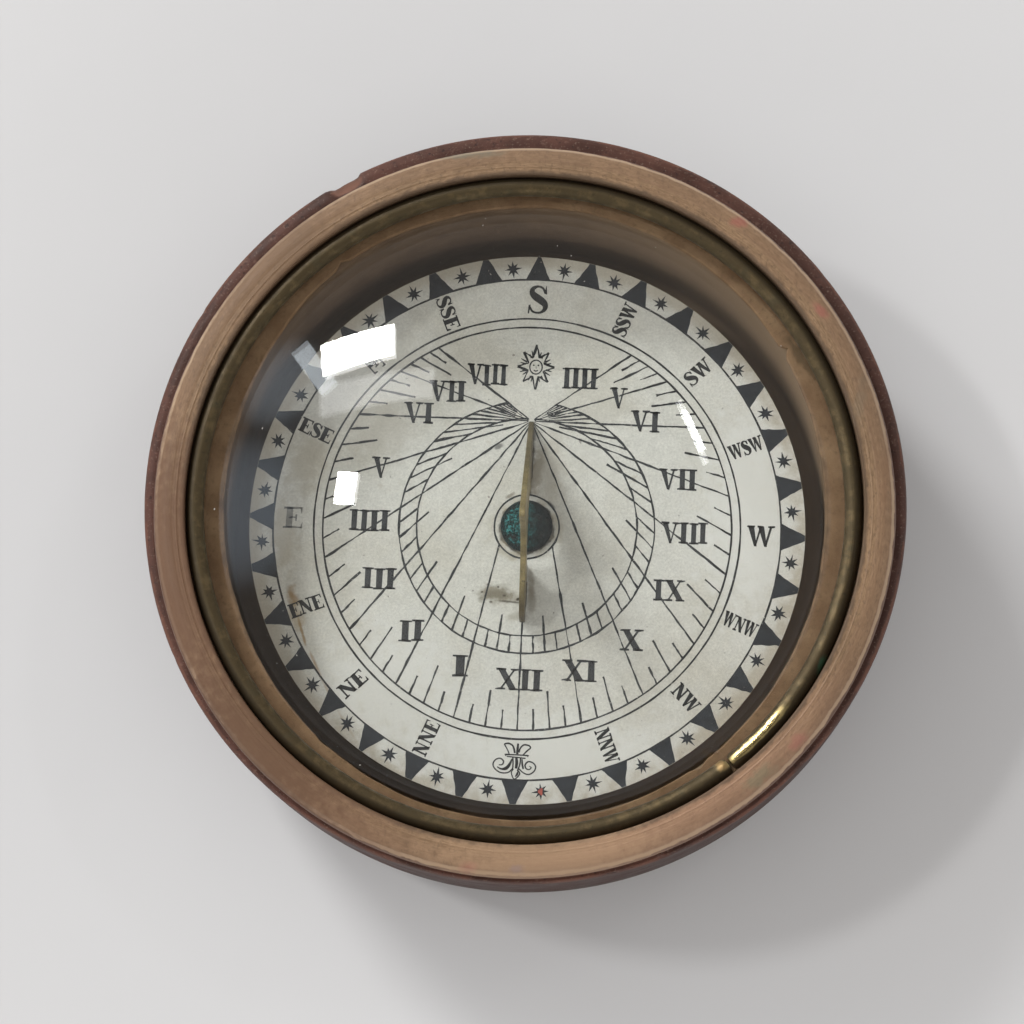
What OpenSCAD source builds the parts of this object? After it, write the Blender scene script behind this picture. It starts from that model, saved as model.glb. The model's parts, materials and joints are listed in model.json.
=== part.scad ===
// Pocket sundial compass: a compass card that carries a gnomon and turns on a
// needle point, in a shallow turned wooden case under a domed glass.
// Millimetres. The case stands on z = 0 about the z axis, with the south
// point of the dial towards +y.

/* [Case] */
// Outer diameter of the wooden case
case_d = 60; // [56:0.5:68]
// Height of the shoulder above the base
shoulder_h = 17.5; // [16:0.1:22]
// Width of the shoulder outside the rim
shoulder_w = 1; // [0.8:0.1:2]
// Rounding of the outer edge of the shoulder
shoulder_round = 0.6; // [0.2:0.1:0.8]
// Height at which the bowed wall reaches its full width
belly_h = 11; // [8:0.5:14]
// Distance that the foot stands in from the wall
foot_inset = 5.5; // [3:0.5:8]
// Width of the flat ring that the case stands on
foot_w = 4; // [2:0.5:8]
// Depth of the hollow turned under the base
foot_hollow = 0.4; // [0.2:0.1:0.8]
// Thickness of the floor, down to the foot ring
floor_t = 3; // [2.6:0.1:4]
// Rounding between the chamber's wall and its floor
floor_round = 1.5; // [0.5:0.1:3]

/* [Rim] */
// Height of the rim above the shoulder
rim_h = 2.5; // [2.3:0.1:3.5]
// Width of the rim, from the lid seat to the mouth
rim_w = 2.5; // [2:0.1:3.5]
// Height of the straight part that the lid slides on
land_h = 1.2; // [0.6:0.1:1.8]
// Width of the rounded slope above the straight part
rim_slope_w = 1.5; // [0.5:0.1:1.7]
// Bevel of the rim's inner edge
rim_bevel = 0.15; // [0.05:0.05:0.25]
// Width of the ledge that carries the glass
ledge_w = 2.3; // [2.1:0.1:3]
// Depth of the ledge below the shoulder
ledge_drop = 0.8; // [0.4:0.1:1.2]

/* [Glass] */
// Thickness of the bedding washer
bedding_t = 0.4; // [0.2:0.1:0.8]
// Distance that the washer stands back from the chamber
bedding_inset = 0.2; // [0:0.1:0.6]
// Thickness of the flat edge of the glass
glass_edge_t = 1.05; // [0.8:0.05:1.4]
// Thickness of the dome
glass_t = 1; // [0.7:0.1:1.2]
// Width of the flat edge that the ring presses on
glass_edge_w = 1.45; // [1:0.05:1.8]
// Rise of the dome above its flat edge
dome_rise = 6.6; // [4:0.2:9]
// Gap round the edge of the glass
glass_gap = 0.1; // [0.05:0.05:0.2]
// Thickness of the wire of the retaining ring
wire_d = 1.5; // [1.2:0.1:1.7]
// Amount by which the sprung wire bites into what it touches
wire_bite = 0.02; // [0.01:0.01:0.05]
// Opening between the two ends of the wire
wire_split = 0.3; // [0.2:0.1:1]
// Direction of the split about the axis
split_angle = -52; // [-180:1:180]

/* [Pivot] */
// Height of the needle's point above the chamber floor
point_h = 6.5; // [6.2:0.1:8]
// Diameter of the needle
needle_d = 0.9; // [0.6:0.1:1.1]
// Length of the tapered point
taper_h = 1.6; // [1:0.1:2.4]
// Diameter of the blunt tip
tip_d = 0.06; // [0.04:0.01:0.1]
// Depth to which the needle is driven below the floor
needle_drive = 1.2; // [0.8:0.1:1.4]
// Diameter of the bush's flange
bush_d = 6.4; // [5:0.2:10]
// Thickness of the bush's flange
bush_t = 1; // [0.6:0.1:1.6]
// Diameter of the bush's spigot
spigot_d = 3; // [2.4:0.1:4]
// Depth of the spigot in the floor
spigot_h = 1.6; // [1.5:0.1:2]

/* [Card] */
// Gap between the card and the chamber wall
card_gap = 1.8; // [1:0.1:3]
// Thickness of the printed paper
paper_t = 0.25; // [0.15:0.05:0.5]
// Thickness of the board under the paper
board_t = 0.8; // [0.5:0.1:1.2]
// Distance that the board's edge stands in from the paper
board_inset = 0.15; // [0.05:0.05:0.4]
// Heading of the card at rest
card_turn = -2.7; // [-180:0.1:180]
// Diameter of the wax dab
wax_d = 3.6; // [2:0.2:5]
// Height of the wax dab
wax_h = 0.9; // [0.5:0.1:1.2]
// Distance of the wax dab from the pivot
wax_reach = 15; // [12:0.5:17]
// Direction of the wax dab from the east point
wax_angle = 62; // [40:1:70]

/* [Cap] */
// Diameter of the cap
cap_d = 4.2; // [3.8:0.1:4.6]
// Height of the cap above the dial
cap_h = 0.9; // [0.8:0.1:1.4]
// Radius of the cap's rounded top
cap_round = 6; // [4:0.5:12]
// Thickness of metal over the jewel
cap_roof = 0.3; // [0.25:0.05:0.4]
// Diameter of the stem that goes through the card
stem_d = 3.2; // [2.8:0.1:3.4]
// Diameter of the bore in the stem and the cap
cap_bore = 2; // [1.6:0.1:2.2]
// Gap round the stem in the card and the magnet
stem_gap = 0.05; // [0.02:0.01:0.1]
// Thickness of the jewel
jewel_t = 0.8; // [0.65:0.05:1]
// Depth of the jewel's cup
cup_depth = 0.5; // [0.3:0.05:0.6]
// Diameter of the cup's mouth
cup_d = 1.1; // [0.9:0.1:1.4]
// Gap between the point and the cup
point_gap = 0.04; // [0.02:0.01:0.1]
// Diameter of the spacer and the collar
collar_d = 5.2; // [4.6:0.1:6]
// Thickness of the collar
collar_t = 0.5; // [0.3:0.1:0.8]
// Length of stem that shows below the collar
stem_end = 0.15; // [0.05:0.05:0.3]

/* [Magnet] */
// Distance from the magnet's tips to the card's edge
magnet_inset = 4.4; // [3:0.2:6]
// Width of the magnet at its middle
magnet_w = 7; // [6:0.2:9]
// Thickness of the magnet
magnet_t = 0.5; // [0.3:0.1:0.8]
// Distance from the magnet's tips to the middle of the straps
strap_inset = 6; // [4:0.5:7]
// Width of a strap along the magnet
strap_w = 2.5; // [1.5:0.1:3]
// Thickness of a strap
strap_t = 0.15; // [0.1:0.05:0.3]
// Length of a strap's glued ends
strap_end = 2; // [1:0.1:3]
// Gap between a strap and the magnet's edge
strap_gap = 0.1; // [0.05:0.05:0.3]

/* [Gnomon] */
// Latitude that the style is set for
latitude = 51.5; // [49:0.5:54]
// Distance of the style's foot from the pivot
foot_reach = 8.7; // [8.3:0.1:9.5]
// Height of the gnomon above the dial
gnomon_h = 12; // [11:0.1:13]
// Distance of the rear end from the pivot
rear_reach = 7.8; // [7.5:0.1:9]
// Height of the heel at the rear end
heel_h = 4; // [3.6:0.1:4.6]
// Length of the heel
heel_w = 2.5; // [2:0.1:3]
// Height over which the rear edge falls steeply from the apex
scoop_fall = 5.3; // [4.5:0.1:6]
// Thickness of the plate
plate_t = 0.45; // [0.3:0.05:0.6]
// Rounding of the apex
apex_round = 0.3; // [0.1:0.05:0.5]
// Width of the arch over the cap
arch_w = 5.9; // [5.4:0.1:6.2]
// Height of the arch over the cap
arch_h = 3.9; // [3.3:0.1:4.3]
// Distance that the arch stands towards the north
arch_shift = 0.25; // [0:0.05:0.4]
// Length of a tab along the plate
tab_w = 2; // [1:0.1:2.2]
// Distance from the arch to a tab
tab_inset = 1.3; // [1.1:0.1:1.5]
// Length of a tab's bent end
tab_bend = 1.8; // [1:0.1:2.4]
// Gap round a tab in its slot
slot_gap = 0.05; // [0.02:0.01:0.1]

/* [Hidden] */
$fn = 128;
// Length by which a cut runs past the face that it opens
over = 0.5;
// Steps of the curves in the turned and cut outlines
bowl_steps = 18;
arc_steps = 8;
rear_steps = 12;

// Case, from the outside in
case_r = case_d / 2;
foot_r = case_r - foot_inset;
seat_r = case_r - shoulder_w;
mouth_r = seat_r - rim_w;
bore_r = mouth_r - ledge_w;
rim_z = shoulder_h + rim_h;
land_z = shoulder_h + land_h;
ledge_z = shoulder_h - ledge_drop;

// Glass and its ring, upwards from the ledge
glass_z = ledge_z + bedding_t;
glass_r = mouth_r - glass_gap;
edge_z = glass_z + glass_edge_t;
dome_r = glass_r - glass_edge_w;
dome_sphere_r = (dome_r * dome_r + dome_rise * dome_rise) / (2 * dome_rise);
dome_z = edge_z + dome_rise - dome_sphere_r;
wire_r = wire_d / 2;
ring_r = mouth_r + wire_bite - wire_r;
wire_z = edge_z + wire_r - wire_bite;

// Card, downwards from the point that it hangs on
point_z = floor_t + point_h;
jewel_h = cap_h - cap_roof - jewel_t;
dial_z = point_z + point_gap - cup_depth - jewel_h;
card_r = bore_r - card_gap;
board_r = card_r - board_inset;
board_top = -paper_t;
board_bottom = board_top - board_t;
magnet_top = board_bottom - plate_t;
magnet_bottom = magnet_top - magnet_t;
collar_bottom = magnet_bottom - collar_t;
stem_bottom = collar_bottom - stem_end;
magnet_reach = card_r - magnet_inset;
strap_reach = magnet_reach - strap_inset;

// Gnomon, in the plane of south (+) and height above the dial
apex_v = gnomon_h - apex_round;
apex_u = foot_reach - (apex_round + apex_v * cos(latitude)) / sin(latitude);
arch_r = arch_w / 2;
south_tab_u = arch_r - arch_shift + tab_inset;
north_tab_u = -arch_r - arch_shift - tab_inset - tab_w;
// The rear edge runs into the heel along this slant and rounds down behind it in two steps
heel_slant = [3, 0.95];
heel_step = 1.6;

// Places everything that hangs on the point, with the dial's face at z = 0
module on_card() {
    rotate([0, 0, card_turn]) translate([0, 0, dial_z]) children();
}

// A washer about the axis, upwards from z
module washer(outer_r, inner_r, z, t) {
    difference() {
        translate([0, 0, z]) cylinder(r = outer_r, h = t);
        translate([0, 0, z - over]) cylinder(r = inner_r, h = t + 2 * over);
    }
}

// Points of a quarter of an ellipse about a centre, between two angles
function arc(centre, radii, from, to, steps) =
    [for (i = [0 : steps]) let (a = from + (to - from) * i / steps)
        centre + [radii[0] * cos(a), radii[1] * sin(a)]];

// Point of a cubic curve through p[0] and p[3], drawn towards p[1] and p[2]
function cubic(p, t) = pow(1 - t, 3) * p[0] + 3 * t * pow(1 - t, 2) * p[1]
    + 3 * t * t * (1 - t) * p[2] + pow(t, 3) * p[3];

// Turned outline of the case: up the outside, over the rim and down the chamber
module case_outline() {
    polygon(concat(
        [[0, foot_hollow], [foot_r - foot_w, foot_hollow], [foot_r - foot_w, 0]],
        arc([foot_r, belly_h], [foot_inset, belly_h], -90, 0, bowl_steps),
        arc([case_r - shoulder_round, shoulder_h - shoulder_round],
            [shoulder_round, shoulder_round], 0, 90, arc_steps),
        [[seat_r, shoulder_h]],
        arc([seat_r - rim_slope_w, land_z], [rim_slope_w, rim_z - land_z], 0, 90, arc_steps),
        [[mouth_r + rim_bevel, rim_z], [mouth_r, rim_z - rim_bevel],
         [mouth_r, ledge_z], [bore_r, ledge_z]],
        arc([bore_r - floor_round, floor_t + floor_round],
            [floor_round, floor_round], 0, -90, arc_steps),
        [[0, floor_t]]));
}

module case_body() {
    color([0.34, 0.2, 0.18]) difference() {
        rotate_extrude() case_outline();
        translate([0, 0, floor_t - spigot_h]) cylinder(d = spigot_d, h = spigot_h + over);
    }
}

module bedding_ring() {
    color([0.43, 0.33, 0.25]) washer(glass_r, bore_r + bedding_inset, ledge_z, bedding_t);
}

// Spherical shell that stands on a flat ring
module crystal() {
    color([0.8, 0.86, 0.88, 0.35]) difference() {
        union() {
            translate([0, 0, glass_z]) cylinder(r = glass_r, h = glass_edge_t);
            intersection() {
                translate([0, 0, dome_z]) sphere(r = dome_sphere_r);
                translate([0, 0, edge_z - glass_edge_t / 2])
                    cylinder(r = dome_r, h = glass_edge_t + dome_rise);
            }
        }
        translate([0, 0, dome_z]) sphere(r = dome_sphere_r - glass_t);
    }
}

// Sprung wire, bent round and cut square at the split
module retaining_ring() {
    split_turn = wire_split / ring_r * 180 / PI;
    color([0.55, 0.47, 0.25]) translate([0, 0, wire_z])
        rotate([0, 0, split_angle + split_turn / 2])
            rotate_extrude(angle = 360 - split_turn) translate([ring_r, 0]) circle(r = wire_r, $fn = 32);
}

module pivot_bush() {
    color([0.66, 0.54, 0.28]) difference() {
        union() {
            translate([0, 0, floor_t]) cylinder(d = bush_d, h = bush_t);
            translate([0, 0, floor_t - spigot_h]) cylinder(d = spigot_d, h = spigot_h);
        }
        translate([0, 0, floor_t - needle_drive]) cylinder(d = needle_d, h = needle_drive + bush_t + over);
    }
}

module pivot_needle() {
    shank_h = needle_drive + point_h - taper_h;
    color([0.62, 0.64, 0.66]) {
        translate([0, 0, floor_t - needle_drive]) cylinder(d = needle_d, h = shank_h);
        translate([0, 0, point_z - taper_h]) cylinder(d1 = needle_d, d2 = tip_d, h = taper_h);
    }
}

// The stem's hole and the two tab slots, through the paper and the board
module card_holes() {
    depth = paper_t + board_t + 2 * over;
    slot_t = plate_t + 2 * slot_gap;
    translate([0, 0, over - depth]) {
        cylinder(d = stem_d + 2 * stem_gap, h = depth);
        for (u = [south_tab_u, north_tab_u])
            translate([-slot_t / 2, u - slot_gap, 0]) cube([slot_t, tab_w + 2 * slot_gap, depth]);
    }
}

module dial_card() {
    color([0.8, 0.78, 0.72]) on_card() difference() {
        translate([0, 0, board_top]) cylinder(r = card_r, h = paper_t);
        card_holes();
    }
}

module card_backing() {
    color([0.5, 0.42, 0.33]) on_card() difference() {
        translate([0, 0, board_bottom]) cylinder(r = board_r, h = board_t);
        card_holes();
    }
}

// Plate outline: straight style, sharp apex, rear edge scooped out down to a round
// heel, and the arch over the cap
module plate_outline() {
    crest = [apex_u - apex_round, apex_v];
    heel = [-rear_reach + heel_w, heel_h];
    scoop = [crest, crest - [apex_round, scoop_fall], heel + heel_slant, heel];
    heel_end = [heel, heel - heel_slant * 0.4, [-rear_reach, heel_h - heel_step],
                [-rear_reach, heel_h - 2 * heel_step]];
    difference() {
        polygon(concat(
            [[-rear_reach, 0], [foot_reach, 0]],
            arc([apex_u, apex_v], [apex_round, apex_round], 90 - latitude, 180, arc_steps),
            [for (i = [1 : rear_steps]) cubic(scoop, i / rear_steps)],
            [for (i = [1 : rear_steps]) cubic(heel_end, i / rear_steps)]));
        translate([-arch_shift - arch_r, -over]) square([arch_w, arch_h - arch_r + over]);
        translate([-arch_shift, arch_h - arch_r]) circle(r = arch_r);
    }
}

// A tab goes down through its slot and is bent flat against the board
module tab(u, side) {
    translate([-plate_t / 2, u, magnet_top]) cube([plate_t, tab_w, -magnet_top + over]);
    translate([side > 0 ? 0 : -tab_bend, u, magnet_top]) cube([tab_bend, tab_w, plate_t]);
}

module gnomon() {
    color([0.56, 0.5, 0.32]) on_card() {
        rotate([90, 0, 90]) translate([0, 0, -plate_t / 2])
            linear_extrude(height = plate_t) plate_outline();
        tab(south_tab_u, 1);
        tab(north_tab_u, -1);
    }
}

// Domed cap on the dial, with a bored stem that goes down through the card
module card_cap() {
    color([0.3, 0.36, 0.33]) on_card() difference() {
        union() {
            intersection() {
                cylinder(d = cap_d, h = cap_h);
                translate([0, 0, cap_h - cap_round]) sphere(r = cap_round);
            }
            translate([0, 0, stem_bottom]) cylinder(d = stem_d, h = -stem_bottom + over);
        }
        translate([0, 0, stem_bottom - over])
            cylinder(d = cap_bore, h = cap_h - cap_roof - stem_bottom + over);
    }
}

module cap_jewel() {
    color([0.5, 0.16, 0.12]) on_card() translate([0, 0, jewel_h]) difference() {
        cylinder(d = cap_bore, h = jewel_t);
        cylinder(d1 = cup_d, d2 = tip_d, h = cup_depth);
    }
}

module needle_spacer() {
    color([0.66, 0.54, 0.28]) on_card()
        washer(collar_d / 2, stem_d / 2 + stem_gap, magnet_top, plate_t);
}

module magnet_needle() {
    color([0.3, 0.34, 0.42]) on_card() difference() {
        translate([0, 0, magnet_bottom]) linear_extrude(height = magnet_t)
            polygon([[0, -magnet_reach], [magnet_w / 2, 0], [0, magnet_reach], [-magnet_w / 2, 0]]);
        translate([0, 0, magnet_bottom - over])
            cylinder(d = stem_d + 2 * stem_gap, h = magnet_t + 2 * over);
    }
}

module cap_collar() {
    color([0.66, 0.54, 0.28]) on_card() washer(collar_d / 2, stem_d / 2, collar_bottom, collar_t);
}

// Strip folded round the magnet, with its ends glued to the board
module strap(side) {
    inner_w = magnet_w * (1 - (strap_reach - strap_w / 2) / magnet_reach) + 2 * strap_gap;
    outer_w = inner_w + 2 * strap_t;
    low = magnet_bottom - strap_t;
    color([0.72, 0.66, 0.52]) on_card() translate([0, side * strap_reach - strap_w / 2, 0])
        difference() {
            union() {
                translate([-outer_w / 2, 0, low]) cube([outer_w, strap_w, board_bottom - low]);
                translate([-outer_w / 2 - strap_end, 0, board_bottom - strap_t])
                    cube([outer_w + 2 * strap_end, strap_w, strap_t]);
            }
            translate([-inner_w / 2, -over, magnet_bottom])
                cube([inner_w, strap_w + 2 * over, board_bottom - magnet_bottom + over]);
        }
}

module needle_strap_north() {
    strap(-1);
}

module needle_strap_south() {
    strap(1);
}

// Spherical cap of wax that hangs under the board
module balance_wax() {
    wax_sphere_r = (wax_d * wax_d / 4 + wax_h * wax_h) / (2 * wax_h);
    color([0.5, 0.12, 0.1]) on_card()
        rotate([0, 0, wax_angle]) translate([wax_reach, 0, board_bottom]) intersection() {
            translate([0, 0, wax_sphere_r - wax_h]) sphere(r = wax_sphere_r);
            translate([0, 0, -wax_h - over]) cylinder(d = wax_d + over, h = wax_h + over);
        }
}

case_body();
bedding_ring();
crystal();
retaining_ring();
pivot_bush();
pivot_needle();
dial_card();
card_backing();
gnomon();
card_cap();
cap_jewel();
needle_spacer();
magnet_needle();
cap_collar();
needle_strap_north();
needle_strap_south();
balance_wax();
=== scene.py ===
import json
import math

import bmesh
import bpy
import numpy as np
from bpy.props import FloatProperty, FloatVectorProperty, IntProperty, PointerProperty
from mathutils import Matrix, Vector

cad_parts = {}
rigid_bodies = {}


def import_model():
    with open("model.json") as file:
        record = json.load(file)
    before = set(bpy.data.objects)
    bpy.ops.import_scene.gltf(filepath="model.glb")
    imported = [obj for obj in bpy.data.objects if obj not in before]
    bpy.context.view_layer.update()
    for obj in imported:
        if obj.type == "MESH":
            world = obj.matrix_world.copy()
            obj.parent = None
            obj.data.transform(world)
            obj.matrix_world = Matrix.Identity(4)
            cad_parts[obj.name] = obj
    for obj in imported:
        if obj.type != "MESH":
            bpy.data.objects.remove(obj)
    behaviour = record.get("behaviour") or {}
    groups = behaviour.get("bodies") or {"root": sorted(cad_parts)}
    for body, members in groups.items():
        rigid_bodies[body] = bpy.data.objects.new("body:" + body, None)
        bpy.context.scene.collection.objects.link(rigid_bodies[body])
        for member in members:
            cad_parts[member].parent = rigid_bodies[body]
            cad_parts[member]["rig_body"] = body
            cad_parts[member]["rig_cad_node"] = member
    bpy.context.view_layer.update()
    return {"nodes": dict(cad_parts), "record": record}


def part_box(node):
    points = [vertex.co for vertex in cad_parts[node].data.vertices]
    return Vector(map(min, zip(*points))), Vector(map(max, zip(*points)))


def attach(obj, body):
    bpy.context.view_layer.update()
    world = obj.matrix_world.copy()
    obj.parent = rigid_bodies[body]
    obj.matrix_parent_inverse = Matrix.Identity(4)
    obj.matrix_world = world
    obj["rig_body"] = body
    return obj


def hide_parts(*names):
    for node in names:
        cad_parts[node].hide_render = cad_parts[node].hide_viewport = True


bl_info = {
    "name": "Pocket sundial compass",
    "version": (1, 0, 0),
    "blender": (4, 5, 0),
    "location": "3D View > Sidebar > Sundial",
    "description": "Dresses the packed compass sundial: turned case, domed glass, printed card and gnomon",
    "category": "Object",
}

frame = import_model()

# Lengths are in millimetres inside the shape functions and in metres in meshes and settings
MM = 0.001
TURN = 2 * math.pi
# Edges that turn by more than this many degrees stay sharp
SHARP = 30


def low(node):
    """Lowest corner of a node's box, in millimetres."""
    return np.array(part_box(node)[0]) / MM


def high(node):
    """Highest corner of a node's box, in millimetres."""
    return np.array(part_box(node)[1]) / MM


LID_SEAT = next(m for m in frame["record"]["mounts"] if m["name"] == "lid_seat")
CASE_R = high("case_body")[0]
RIM_Z = high("case_body")[2]
SEAT_R, SEAT_H = LID_SEAT["dims"]["r_mm"], LID_SEAT["dims"]["length_mm"]
GLASS_R = high("crystal")[0]
GLASS_Z = low("crystal")[2]
GLASS_TOP = high("crystal")[2]
LEDGE_Z = low("bedding_ring")[2]
WIRE_Z = (low("retaining_ring")[2] + high("retaining_ring")[2]) / 2
WIRE_R = (high("retaining_ring")[2] - low("retaining_ring")[2]) / 2
RING_R = -low("retaining_ring")[0] - WIRE_R
# The bush's spigot stands 1.6 mm deep in the floor of the chamber
SPIGOT_R = 1.5
SPIGOT_Z = low("pivot_bush")[2]
FLOOR_Z = SPIGOT_Z + 1.6
DIAL_Z = high("dial_card")[2]
CARD_R = high("dial_card")[0]


# Settings


class SundialCaseSettings(bpy.types.PropertyGroup):
    """Sizes and colours of the turned case"""
    shoulder_h: FloatProperty(name="Shoulder height", description="Height of the lacquered shoulder",
                              default=0.0175, unit="LENGTH")
    rim_w: FloatProperty(name="Rim width", description="Width of the bare rim from the lid seat to the mouth",
                         default=0.0025, unit="LENGTH")
    ledge_w: FloatProperty(name="Ledge width", description="Width of the ledge that carries the glass",
                           default=0.0023, unit="LENGTH")
    belly_h: FloatProperty(name="Belly height", description="Height at which the bowed wall is widest",
                           default=0.011, unit="LENGTH")
    tool_mark: FloatProperty(name="Tool marks", description="Depth of the marks that turning left",
                             default=0.000012, unit="LENGTH", precision=6)
    chip_angle: FloatProperty(name="Chip", description="Direction of the chip in the shoulder's edge",
                              default=math.radians(118.4), subtype="ANGLE")
    lacquer: FloatVectorProperty(name="Lacquer", description="Colour of the red-brown lacquer",
                                 default=(0.105, 0.046, 0.034), subtype="COLOR")
    wood: FloatVectorProperty(name="Bare wood", description="Colour of the bare turned wood",
                              default=(0.290, 0.183, 0.103), subtype="COLOR")
    sway: FloatProperty(name="Uneven shoulder", default=0.00066, unit="LENGTH", precision=5,
                        description="How much further the shoulder stands out at the south")


class SundialGlassSettings(bpy.types.PropertyGroup):
    """Sizes of the domed glass, and the dust on it"""
    thickness: FloatProperty(name="Thickness", description="Thickness of the dome", default=0.001,
                             unit="LENGTH")
    edge_t: FloatProperty(name="Edge", description="Thickness of the flat edge of the glass",
                          default=0.00105, unit="LENGTH")
    edge_w: FloatProperty(name="Edge width", description="Width of the flat edge of the glass",
                          default=0.00145, unit="LENGTH")
    specks: IntProperty(name="Dust specks", description="Number of dust specks on the glass", default=140)


class SundialDialSettings(bpy.types.PropertyGroup):
    """Turn, layout and colours of the printed card"""
    heading: FloatProperty(name="Heading", description="Turn of the card at rest",
                           default=math.radians(-2.7), subtype="ANGLE")
    latitude: FloatProperty(name="Latitude", description="Latitude that the hour lines are drawn for",
                            default=math.radians(51.5), subtype="ANGLE")
    foot_reach: FloatProperty(name="Style foot", description="Distance of the style's foot from the pivot",
                              default=0.0087, unit="LENGTH")
    ink: FloatVectorProperty(name="Ink", description="Colour of the printed lines",
                             default=(0.009, 0.010, 0.012), subtype="COLOR")
    ink_blue: FloatVectorProperty(name="Border ink", description="Colour of the printed border",
                                  default=(0.008, 0.011, 0.016), subtype="COLOR")
    paper: FloatVectorProperty(name="Paper", description="Colour of the clean paper",
                               default=(0.735, 0.722, 0.672), subtype="COLOR")


class SundialMetalSettings(bpy.types.PropertyGroup):
    """Colours of the brass pieces"""
    brass: FloatVectorProperty(name="Brass", description="Colour of clean brass",
                               default=(0.52, 0.40, 0.17), subtype="COLOR")
    tarnish: FloatVectorProperty(name="Tarnish", description="Colour of tarnished brass",
                                 default=(0.10, 0.085, 0.04), subtype="COLOR")
    verdigris: FloatVectorProperty(name="Verdigris", description="Colour of the green corrosion",
                                   default=(0.03, 0.11, 0.10), subtype="COLOR")


class SundialStageSettings(bpy.types.PropertyGroup):
    """Camera and strength of the lights"""
    distance: FloatProperty(name="Distance", description="Distance of the camera", default=0.25,
                            unit="LENGTH")
    elevation: FloatProperty(name="Elevation", description="Elevation of the camera",
                             default=math.radians(79.64), subtype="ANGLE")
    lean: FloatProperty(name="Lean", description="Turn of the camera's lean from straight below",
                        default=math.radians(9.4), subtype="ANGLE")
    lens: FloatProperty(name="Lens", description="Focal length in millimetres on a 36 mm sensor",
                        default=113.0)
    aim: FloatVectorProperty(name="Aim", description="Point that the camera looks at",
                             default=(-0.00087, -0.00069, 0.02), subtype="TRANSLATION", unit="LENGTH")
    lamps: FloatProperty(name="Lamps", description="Strength of all lamps", default=1.0)
    room: FloatProperty(name="Room light", description="Strength of the room's own light", default=1.0)


# Meshes


def finish_mesh(name, vertices, faces, sharp=SHARP):
    """Puts millimetre vertices and faces into a mesh object at the origin, shaded smooth except at edges that
    turn by more than the sharp angle in degrees."""
    mesh = bpy.data.meshes.new(name)
    mesh.from_pydata((np.asarray(vertices) * MM).tolist(), [], faces)
    mesh.update()
    mesh.shade_smooth()
    mesh.set_sharp_from_angle(angle=math.radians(sharp))
    thing = bpy.data.objects.new(name, mesh)
    bpy.context.scene.collection.objects.link(thing)
    return thing


def grid_faces(rows, columns, close_rows=False, close_columns=False, start=0):
    """Quads between the neighbours of a grid of points numbered row by row."""
    r = np.arange(rows if close_rows else rows - 1)[:, None]
    c = np.arange(columns if close_columns else columns - 1)[None, :]
    r1, c1 = (r + 1) % rows, (c + 1) % columns
    quads = np.stack([r * columns + c, r * columns + c1, r1 * columns + c1, r1 * columns + c], -1)
    return (quads.reshape(-1, 4) + start).tolist()


def waves(turn, seed, counts=(2, 3, 5, 8, 13), fall=0.7):
    """Sum of sine waves round a turn: each has a whole number of crests, a drawn phase and a height that
    falls from one to the next."""
    draw = np.random.default_rng(seed)
    total = np.zeros_like(turn)
    for k, count in enumerate(counts):
        total = total + fall ** k * np.sin(count * turn + draw.uniform(0, TURN))
    return total / sum(fall ** k for k in range(len(counts)))


def arc(centre, radii, start, end, steps):
    """Points of an ellipse about a centre from one angle to another, in degrees."""
    a = np.radians(np.linspace(start, end, steps + 1))
    return np.stack([centre[0] + radii[0] * np.cos(a), centre[1] + radii[1] * np.sin(a)], -1)


def line(start, end, steps, skip=1):
    """Evenly spaced points of a straight line, without the first ones that are skipped."""
    t = np.linspace(0, 1, steps + 1)[skip:, None]
    return np.asarray(start, float) * (1 - t) + np.asarray(end, float) * t


def curve_through(points, steps=8):
    """Smooth curve through points: between two of them it is the cubic whose slope at each is half the step
    between that point's neighbours."""
    p = np.asarray(points, float)
    p = np.concatenate([[2 * p[0] - p[1]], p, [2 * p[-1] - p[-2]]])
    t = np.linspace(0, 1, steps, endpoint=False)[None, :, None]
    a, b, c, d = p[:-3, None], p[1:-2, None], p[2:-1, None], p[3:, None]
    out = 0.5 * (2 * b + (c - a) * t + (2 * a - 5 * b + 4 * c - d) * t ** 2
                 + (3 * b - a - 3 * c + d) * t ** 3)
    return np.concatenate([out.reshape(-1, p.shape[1]), p[-2:-1]])


def carried_round(profile, steps, shape):
    """Grid of a profile's points (r, z) carried round the z axis, one row for each of them. A shape function
    of r, z and the angle may move the points."""
    a = np.linspace(0, TURN, steps, endpoint=False)[None, :]
    r, z = profile[:, 0][:, None] + 0 * a, profile[:, 1][:, None] + 0 * a
    if shape is not None:
        r, z = shape(r, z, a + 0 * r)
    return np.stack([r * np.cos(a), r * np.sin(a), z], -1).reshape(-1, 3)


def turned(name, profile, steps, shape, sharp):
    """Solid turned about the z axis: each profile point (r, z) runs round a circle, and the two ends, which
    lie on the axis, are single points."""
    grid = carried_round(profile[1:-1], steps, shape)
    poles = [[0, 0, profile[0, 1]], [0, 0, profile[-1, 1]]]
    rows = len(profile) - 2
    faces = grid_faces(rows, steps, close_columns=True)
    last, first = rows * steps + 1, rows * steps
    for k in range(steps):
        k1 = (k + 1) % steps
        faces.append((first, k1, k))
        faces.append((last, (rows - 1) * steps + k, (rows - 1) * steps + k1))
    return finish_mesh(name, np.concatenate([grid, poles]), faces, sharp)


def turned_ring(name, profile, steps, shape):
    """Ring turned about the z axis from a closed profile of points (r, z)."""
    faces = grid_faces(len(profile), steps, True, True)
    return finish_mesh(name, carried_round(profile, steps, shape), faces)


def face_outwards(thing):
    """Turns the faces of closed shells outwards."""
    shell = bmesh.new()
    shell.from_mesh(thing.data)
    bmesh.ops.recalc_face_normals(shell, faces=shell.faces)
    shell.to_mesh(thing.data)
    shell.free()


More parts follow.
